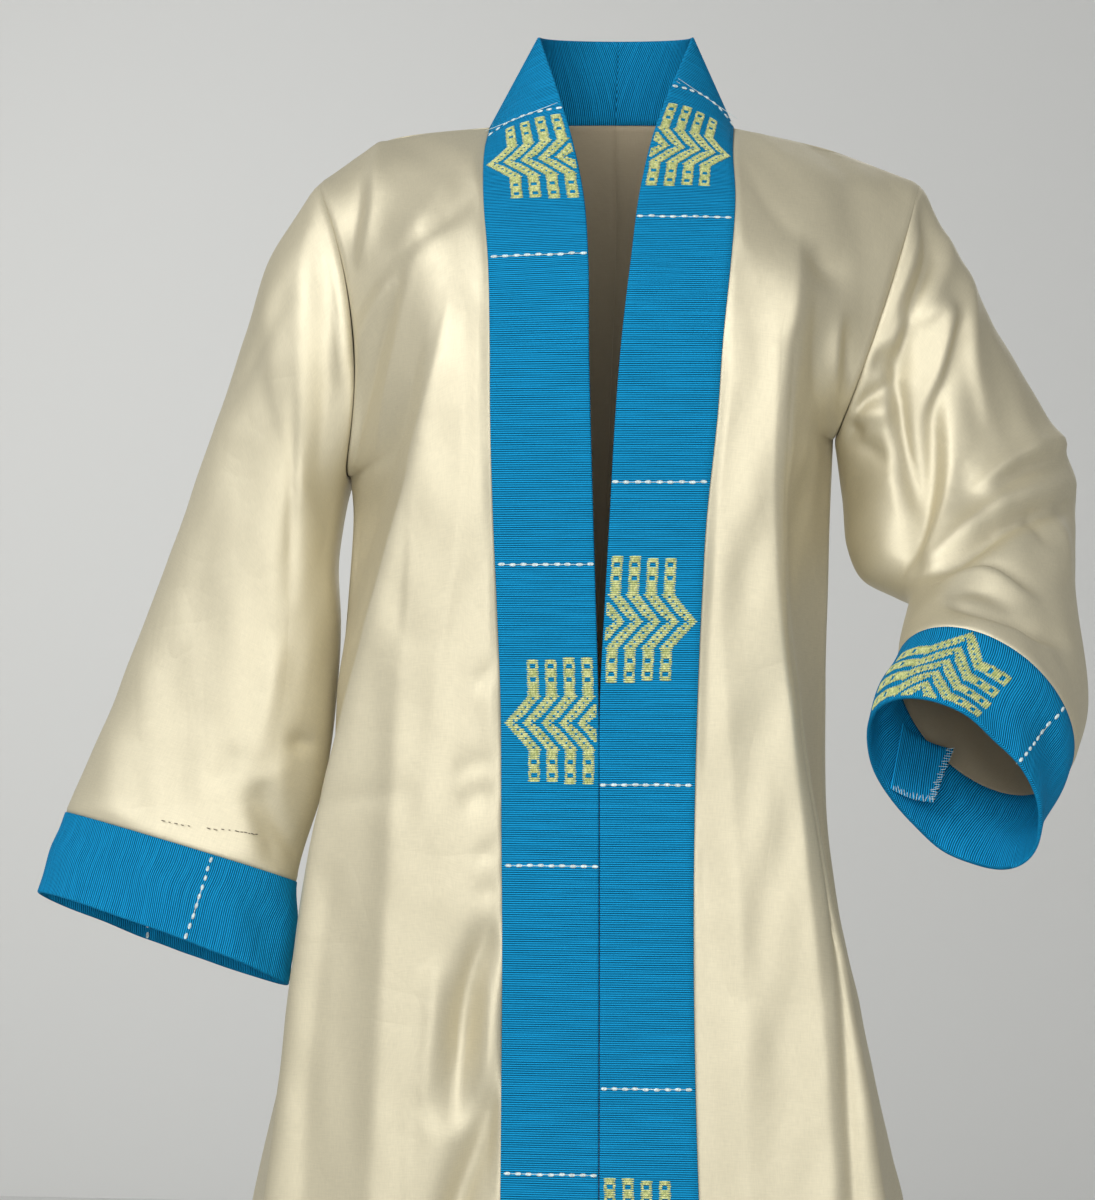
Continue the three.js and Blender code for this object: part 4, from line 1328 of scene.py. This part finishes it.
def needle_marks():
    """Marks of a removed row of stitches, in the satin just above the right cuff."""
    rng = np.random.default_rng(MARK_SEED)
    marks = []
    for start, end, count in NEEDLE_MARKS:
        for share in np.linspace(0, 1, count):
            near = np.array(start) + share * (np.array(end) - np.array(start))
            length = rng.uniform(*MARK_LENGTH)
            ends = (-MARK_TURN * length, MARK_TURN * length)
            pair = [near + (rng.uniform(-MARK_STRAY, MARK_STRAY), end_turn) for end_turn in ends]
            (a, b), inward = sleeve_points("right", pair, -MARK_LIFT)
            marks.append(((a + b) / 2, b - a, -inward[0], length))
    colours = bpy.context.scene.robe_colours
    dark = tuple(c * 0.16 for c in colours.wrong_side)
    yarn = thread_material("pulled_thread", tuple(c * 0.5 for c in colours.wrong_side), dark, 0.8)
    piece = lay_threads("robe_needle_marks", marks, MARK_WIDTH, MARK_HEIGHT, yarn)
    finish_piece(piece, None)


# ---------------------------------------------------------------------------
# Sizes, colours and stage that a user would change
# ---------------------------------------------------------------------------
class RobeSizes(bpy.types.PropertyGroup):
    satin_wall: FloatProperty(
        name="Satin thickness",
        description="Thickness of the satin",
        default=0.0010, min=0.0003, max=0.003, unit="LENGTH")
    strip_wall: FloatProperty(
        name="Strip thickness",
        description="Thickness of one layer of the woven strip",
        default=0.0010, min=0.0003, max=0.0012, unit="LENGTH")
    body_step: FloatProperty(
        name="Body grid",
        description="Distance between points on the fronts and back",
        default=0.0045, min=0.002, max=0.02, unit="LENGTH")
    sleeve_step: FloatProperty(
        name="Sleeve grid",
        description="Distance between points on the sleeves",
        default=0.0035, min=0.002, max=0.02, unit="LENGTH")
    slack: FloatProperty(
        name="Slack",
        description="Height of the long soft waves in the satin",
        default=0.0007, min=0, max=0.004, unit="LENGTH")
    band_columns: IntProperty(
        name="Band columns",
        description="Points across one layer of the band",
        default=14, min=4, max=40)


class RobeColours(bpy.types.PropertyGroup):
    satin: FloatVectorProperty(
        name="Satin",
        description="Right side of the satin",
        subtype="COLOR", default=(0.665, 0.60, 0.425), min=0, max=1)
    wrong_side: FloatVectorProperty(
        name="Wrong side",
        description="Matt wrong side of the satin",
        subtype="COLOR", default=(0.40, 0.33, 0.22), min=0, max=1)
    strip: FloatVectorProperty(
        name="Strip",
        description="Ground of the woven strip",
        subtype="COLOR", default=(0.006, 0.196, 0.40), min=0, max=1)
    inlay: FloatVectorProperty(
        name="Figures",
        description="Inlaid yarn of the figures",
        subtype="COLOR", default=(0.66, 0.67, 0.29), min=0, max=1)
    inlay_shade: FloatVectorProperty(
        name="Figures in shade",
        description="Darker strands of the figures",
        subtype="COLOR", default=(0.30, 0.36, 0.11), min=0, max=1)
    white: FloatVectorProperty(
        name="White yarn",
        description="Yarn of the dotted rows and the overlock stitches",
        subtype="COLOR", default=(0.70, 0.84, 0.84), min=0, max=1)


class RobeStage(bpy.types.PropertyGroup):
    azimuth: FloatProperty(
        name="Viewing angle",
        description="How far the camera stands round towards the wearer's left",
        default=math.radians(4.5), subtype="ANGLE")
    distance: FloatProperty(
        name="Viewing distance",
        description="From the camera to the robe",
        default=1.7, min=0.5, unit="LENGTH")
    target: FloatVectorProperty(
        name="Aim",
        description="What the camera aims at",
        default=(-0.049, 0, -0.333), subtype="TRANSLATION", unit="LENGTH")
    lens: FloatProperty(
        name="Lens",
        description="Focal length in millimetres",
        default=72.86, min=10)
    key: FloatProperty(
        name="Key light",
        description="Strength of the main soft light",
        default=70, min=0, unit="POWER")
    fill: FloatProperty(
        name="Fill light",
        description="Strength of the light from behind, which sets the upper left one too",
        default=14, min=0, unit="POWER")
    surround: FloatProperty(
        name="Surroundings",
        description="Strength of the even pale surroundings",
        default=0.31, min=0)
    wash: FloatProperty(
        name="Wall light",
        description="Strength of the light on the wall behind",
        default=30, min=0, unit="POWER")


# ---------------------------------------------------------------------------
# One operator for each group of pieces
# ---------------------------------------------------------------------------
def plain_material(name, colour, roughness):
    material, _, shader, _ = new_material(name)
    shader.inputs["Base Color"].default_value = colour + (1,)
    shader.inputs["Roughness"].default_value = roughness
    return material


def stage_plane(name, corners, material):
    mesh = bpy.data.meshes.new(name)
    mesh.from_pydata(corners, [], [(0, 1, 2, 3)])
    mesh.materials.append(material)
    placed(name, mesh)


def soft_light(name, place, aim, size, power, colour):
    light = bpy.data.lights.new(name, "AREA")
    light.shape, light.size, light.energy, light.color = "DISK", size, power, colour
    lamp = placed(name, light)
    lamp.location = place
    lamp.visible_camera = False
    lamp.rotation_euler = (Vector(aim) - Vector(place)).to_track_quat("-Z", "Y").to_euler()


class ROBE_OT_stage(bpy.types.Operator):
    """Sets the camera, the soft lights, the pale floor and the pale wall"""
    bl_idname = "robe.stage"
    bl_label = "Stage"

    def execute(self, context):
        stage = context.scene.robe_stage
        camera_data = bpy.data.cameras.new("camera")
        camera_data.lens = stage.lens
        camera_data.sensor_width = 36
        camera_data.clip_end = 50
        camera = placed("camera", camera_data)
        target = Vector(stage.target)
        turn = stage.azimuth
        camera.location = target + stage.distance * Vector((math.sin(turn), -math.cos(turn), 0))
        camera.rotation_euler = (math.pi / 2, 0, turn)
        context.scene.camera = camera
        pale = plain_material("pale_stage", (0.70, 0.70, 0.685), 0.9)
        floor_z, far, wide, high = -1.66, 3.6, 8.0, 5.0
        foot = [(-wide, far, floor_z), (wide, far, floor_z)]
        stage_plane("floor", [(-wide, -wide, floor_z), (wide, -wide, floor_z)] + foot[::-1], pale)
        stage_plane("wall", foot + [(wide, far, high), (-wide, far, high)], pale)
        aim = (0, 0, -0.5)
        warm, cool, even = (1.0, 1.0, 0.985), (0.98, 0.99, 1.0), (1.0, 1.0, 1.0)
        soft_light("key", (0.25, -3.0, 0.15), aim, 3.1, stage.key, warm)
        soft_light("upper_left", (-1.7, -1.9, 1.5), aim, 1.5, UPPER_LIGHT_SHARE * stage.fill, cool)
        soft_light("back_light", (0.5, 2.6, 0.6), aim, 2.0, stage.fill, even)
        soft_light("wall_wash", (-1.8, 0.9, 0.4), (-0.4, far, -0.5), 2.0, stage.wash, warm)
        world = bpy.data.worlds.new("surroundings")
        world.use_nodes = True
        ground = world.node_tree.nodes["Background"]
        ground.inputs[0].default_value = (0.93, 0.94, 0.95, 1)
        ground.inputs[1].default_value = stage.surround
        context.scene.world = world
        context.scene.view_settings.view_transform = "Standard"
        return {"FINISHED"}


def satin_panel(name, grid, outward, edges, folds, hold_reach, slack=1, facing=-1, tube=False):
    """Lays folds and slack on a panel that is sewn along the named edges, and makes its cloth."""
    sizes = bpy.context.scene.robe_sizes
    distances = edge_distances(grid, edges)
    hold = held(distances, hold_reach)
    normals = normals_of(grid, outward, tube)
    grid = lay_folds(grid, normals, folds, hold, facing)
    grid = drape(grid, normals, hold, slack * sizes.slack / MM, SLACK_SEEDS[name])
    grid = seam_dip(grid, normals_of(grid, outward, tube), distances)
    normals, wall = normals_of(grid, outward, tube), sizes.satin_wall / MM
    piece = cloth_shell("robe_" + name, grid, normals, wall,
                        [satin_material(), wrong_side_material()], outward, tube)
    finish_piece(piece, name)


def folded_strip(name, face, outward, tube=False):
    """Makes a strip that is folded along the last row of its face."""
    wall = bpy.context.scene.robe_sizes.strip_wall / MM
    grid = fold_over(face, normals_of(face, outward, tube), wall)
    around = normals_of(grid, outward, tube)
    piece = cloth_shell("robe_" + name, grid + around * wall / 2, around, wall,
                        [strip_material(), strip_material()], outward, tube)
    finish_piece(piece, name)


class ROBE_OT_body(bpy.types.Operator):
    """Makes the two fronts and the two halves of the back"""
    bl_idname = "robe.body"
    bl_label = "Fronts and backs"

    def execute(self, context):
        step = context.scene.robe_sizes.body_step / MM
        rows = heights(step)
        edges = ("first column", "last column", "last row")
        for side, centre in (("right", (0.0, 0.5)), ("left", (0.5, 1.0))):
            front = front_rows(side, rows, np.linspace(0, 1, round(FRONT_RUN / step)))
            satin_panel("front_" + side, front, OUTWARD[side], edges, BODY_FOLDS, HOLD_FRONT)
            back = back_rows(rows, np.linspace(*centre, round(BACK_HALF_RUN / step)))
            satin_panel("back_" + side, back, -1, edges, BACK_FOLDS, HOLD_BACK, BACK_SLACK, 1)
        return {"FINISHED"}


class ROBE_OT_sleeves(bpy.types.Operator):
    """Makes the hanging right sleeve and the bent left sleeve"""
    bl_idname = "robe.sleeves"
    bl_label = "Sleeves"

    def execute(self, context):
        step = context.scene.robe_sizes.sleeve_step / MM
        angle = np.linspace(0, TURN, round(SLEEVE_RUN / step) + 1)[:-1]
        edges = ("first row", "last row")
        for side, folds in (("right", SLEEVE_RIGHT_FOLDS), ("left", SLEEVE_LEFT_FOLDS)):
            reach = arm_rings(side)[1][-3]
            grid = arm_rows(side, np.linspace(0, reach, round(reach / step) + 1), angle)
            satin_panel("sleeve_" + side, grid, OUTWARD[side], edges, folds, HOLD_SLEEVE,
                        tube=True)
        needle_marks()
        return {"FINISHED"}


def band_lines(side):
    """Lines of the band from the hem to the centre back: seam edge and free edge."""
    height = heights(BAND_STEP)
    quarter = np.linspace(0, math.pi / 2, NECK_STEPS + 1)[1:]
    if side == "left":
        quarter = math.pi - quarter
    seam = np.vstack([band_seam(side, height), neck_line(quarter, True)])
    edge = np.vstack([band_edge(side, height), neck_line(quarter, False)])
    return seam, edge


def fold_over(outer, normals, wall):
    """Turns a face, whose last row is its folded edge, into the middle surface of a cloth that
    runs along it, turns at the edge and comes back behind it."""
    radius = (STRIP_FOLDED - wall) / 2
    inward = -normals
    front = outer + inward * wall / 2
    behind = outer + inward * (STRIP_FOLDED - wall / 2)
    ahead = unit(outer[-1] - outer[-2])
    centre = (front[-1] + behind[-1]) / 2 - ahead * radius
    turn = [
        centre + radius * (math.sin(a) * ahead - math.cos(a) * inward[-1])
        for a in np.linspace(0, math.pi, FOLD_TURN_POINTS)
    ]
    return np.concatenate([front[:-1], np.array(turn), behind[:-1][::-1]], 0)


class ROBE_OT_bands(bpy.types.Operator):
    """Makes the two folded lengths of strip round the neck and down the fronts"""
    bl_idname = "robe.bands"
    bl_label = "Band"

    def execute(self, context):
        share = np.linspace(0, 1, context.scene.robe_sizes.band_columns)[:, None, None]
        for side, outward in OUTWARD.items():
            seam, edge = band_lines(side)
            face = seam[None] + (edge - seam)[None] * share
            folded_strip("band_" + side, face, outward)
            strip = StripFace(face, outward)
            rows, figures = (
                [strip.length_at(z) for z in table[side]] for table in (BAND_ROWS, BAND_FIGURES)
            )
            strip_threads("robe_band_" + side, strip, rows, figures, THREAD_SEEDS["band"])
            behind = StripFace(face, outward, behind=True)
            strip_threads("robe_band_inner_" + side, behind, rows, [], THREAD_SEEDS["band_inner"])
        return {"FINISHED"}


class ROBE_OT_cuffs(bpy.types.Operator):
    """Makes the folded strip round each sleeve end"""
    bl_idname = "robe.cuffs"
    bl_label = "Cuffs"

    def execute(self, context):
        slack = CUFF_SLACK * context.scene.robe_sizes.slack / MM
        angle = np.linspace(0, TURN, CUFF_COLUMNS + 1)[:-1]
        for side, outward in OUTWARD.items():
            places = arm_rings(side)[1]
            face = arm_rows(side, np.linspace(places[-3], places[-1], CUFF_ROWS), angle)
            hold = held(edge_distances(face, ("first row",)), HOLD_CUFF)
            face = drape(face, normals_of(face, outward, True), hold, slack, SLACK_SEEDS["cuff"])
            folded_strip("cuff_" + side, face, outward, True)
            strip = StripFace(face, outward, True, CUFF_SKEW[side])
            first = CUFF_ROW_PLACE[side] * strip.length
            rows, figures = [first, first + CUFF_ROW_INTERVAL], [first + CUFF_FIGURE_REACH[side]]
            strip_threads("robe_cuff_" + side, strip, rows, figures, THREAD_SEEDS["cuff"])
            if side == "right":
                behind = StripFace(face, outward, True, CUFF_SKEW[side], True)
                seed = THREAD_SEEDS["cuff_inner"]
                strip_threads("robe_cuff_inner_right", behind, rows[1:], [], seed)
        cuff_flap()
        return {"FINISHED"}


class ROBE_PT_panel(bpy.types.Panel):
    """Lists the robe's pieces, sizes and colours"""
    bl_idname = "ROBE_PT_panel"
    bl_label = "Satin robe"
    bl_space_type = "VIEW_3D"
    bl_region_type = "UI"
    bl_category = "Robe"

    def draw(self, context):
        for pointer, _ in POINTERS:
            group = getattr(context.scene, pointer)
            for name in group.__annotations__:
                self.layout.prop(group, name)
        for operator in OPERATORS:
            self.layout.operator(operator.bl_idname)


OPERATORS = (ROBE_OT_stage, ROBE_OT_body, ROBE_OT_sleeves, ROBE_OT_bands, ROBE_OT_cuffs)
POINTERS = (("robe_sizes", RobeSizes), ("robe_colours", RobeColours), ("robe_stage", RobeStage))
CLASSES = tuple(group for _, group in POINTERS) + OPERATORS + (ROBE_PT_panel,)


def register():
    for item in CLASSES:
        bpy.utils.register_class(item)
    for name, group in POINTERS:
        setattr(bpy.types.Scene, name, PointerProperty(type=group))


def unregister():
    for name, _ in POINTERS:
        delattr(bpy.types.Scene, name)
    for item in reversed(CLASSES):
        bpy.utils.unregister_class(item)


def main():
    register()
    for operator in OPERATORS:
        family, name = operator.bl_idname.split(".")
        getattr(getattr(bpy.ops, family), name)()


if __name__ == "__main__":
    main()
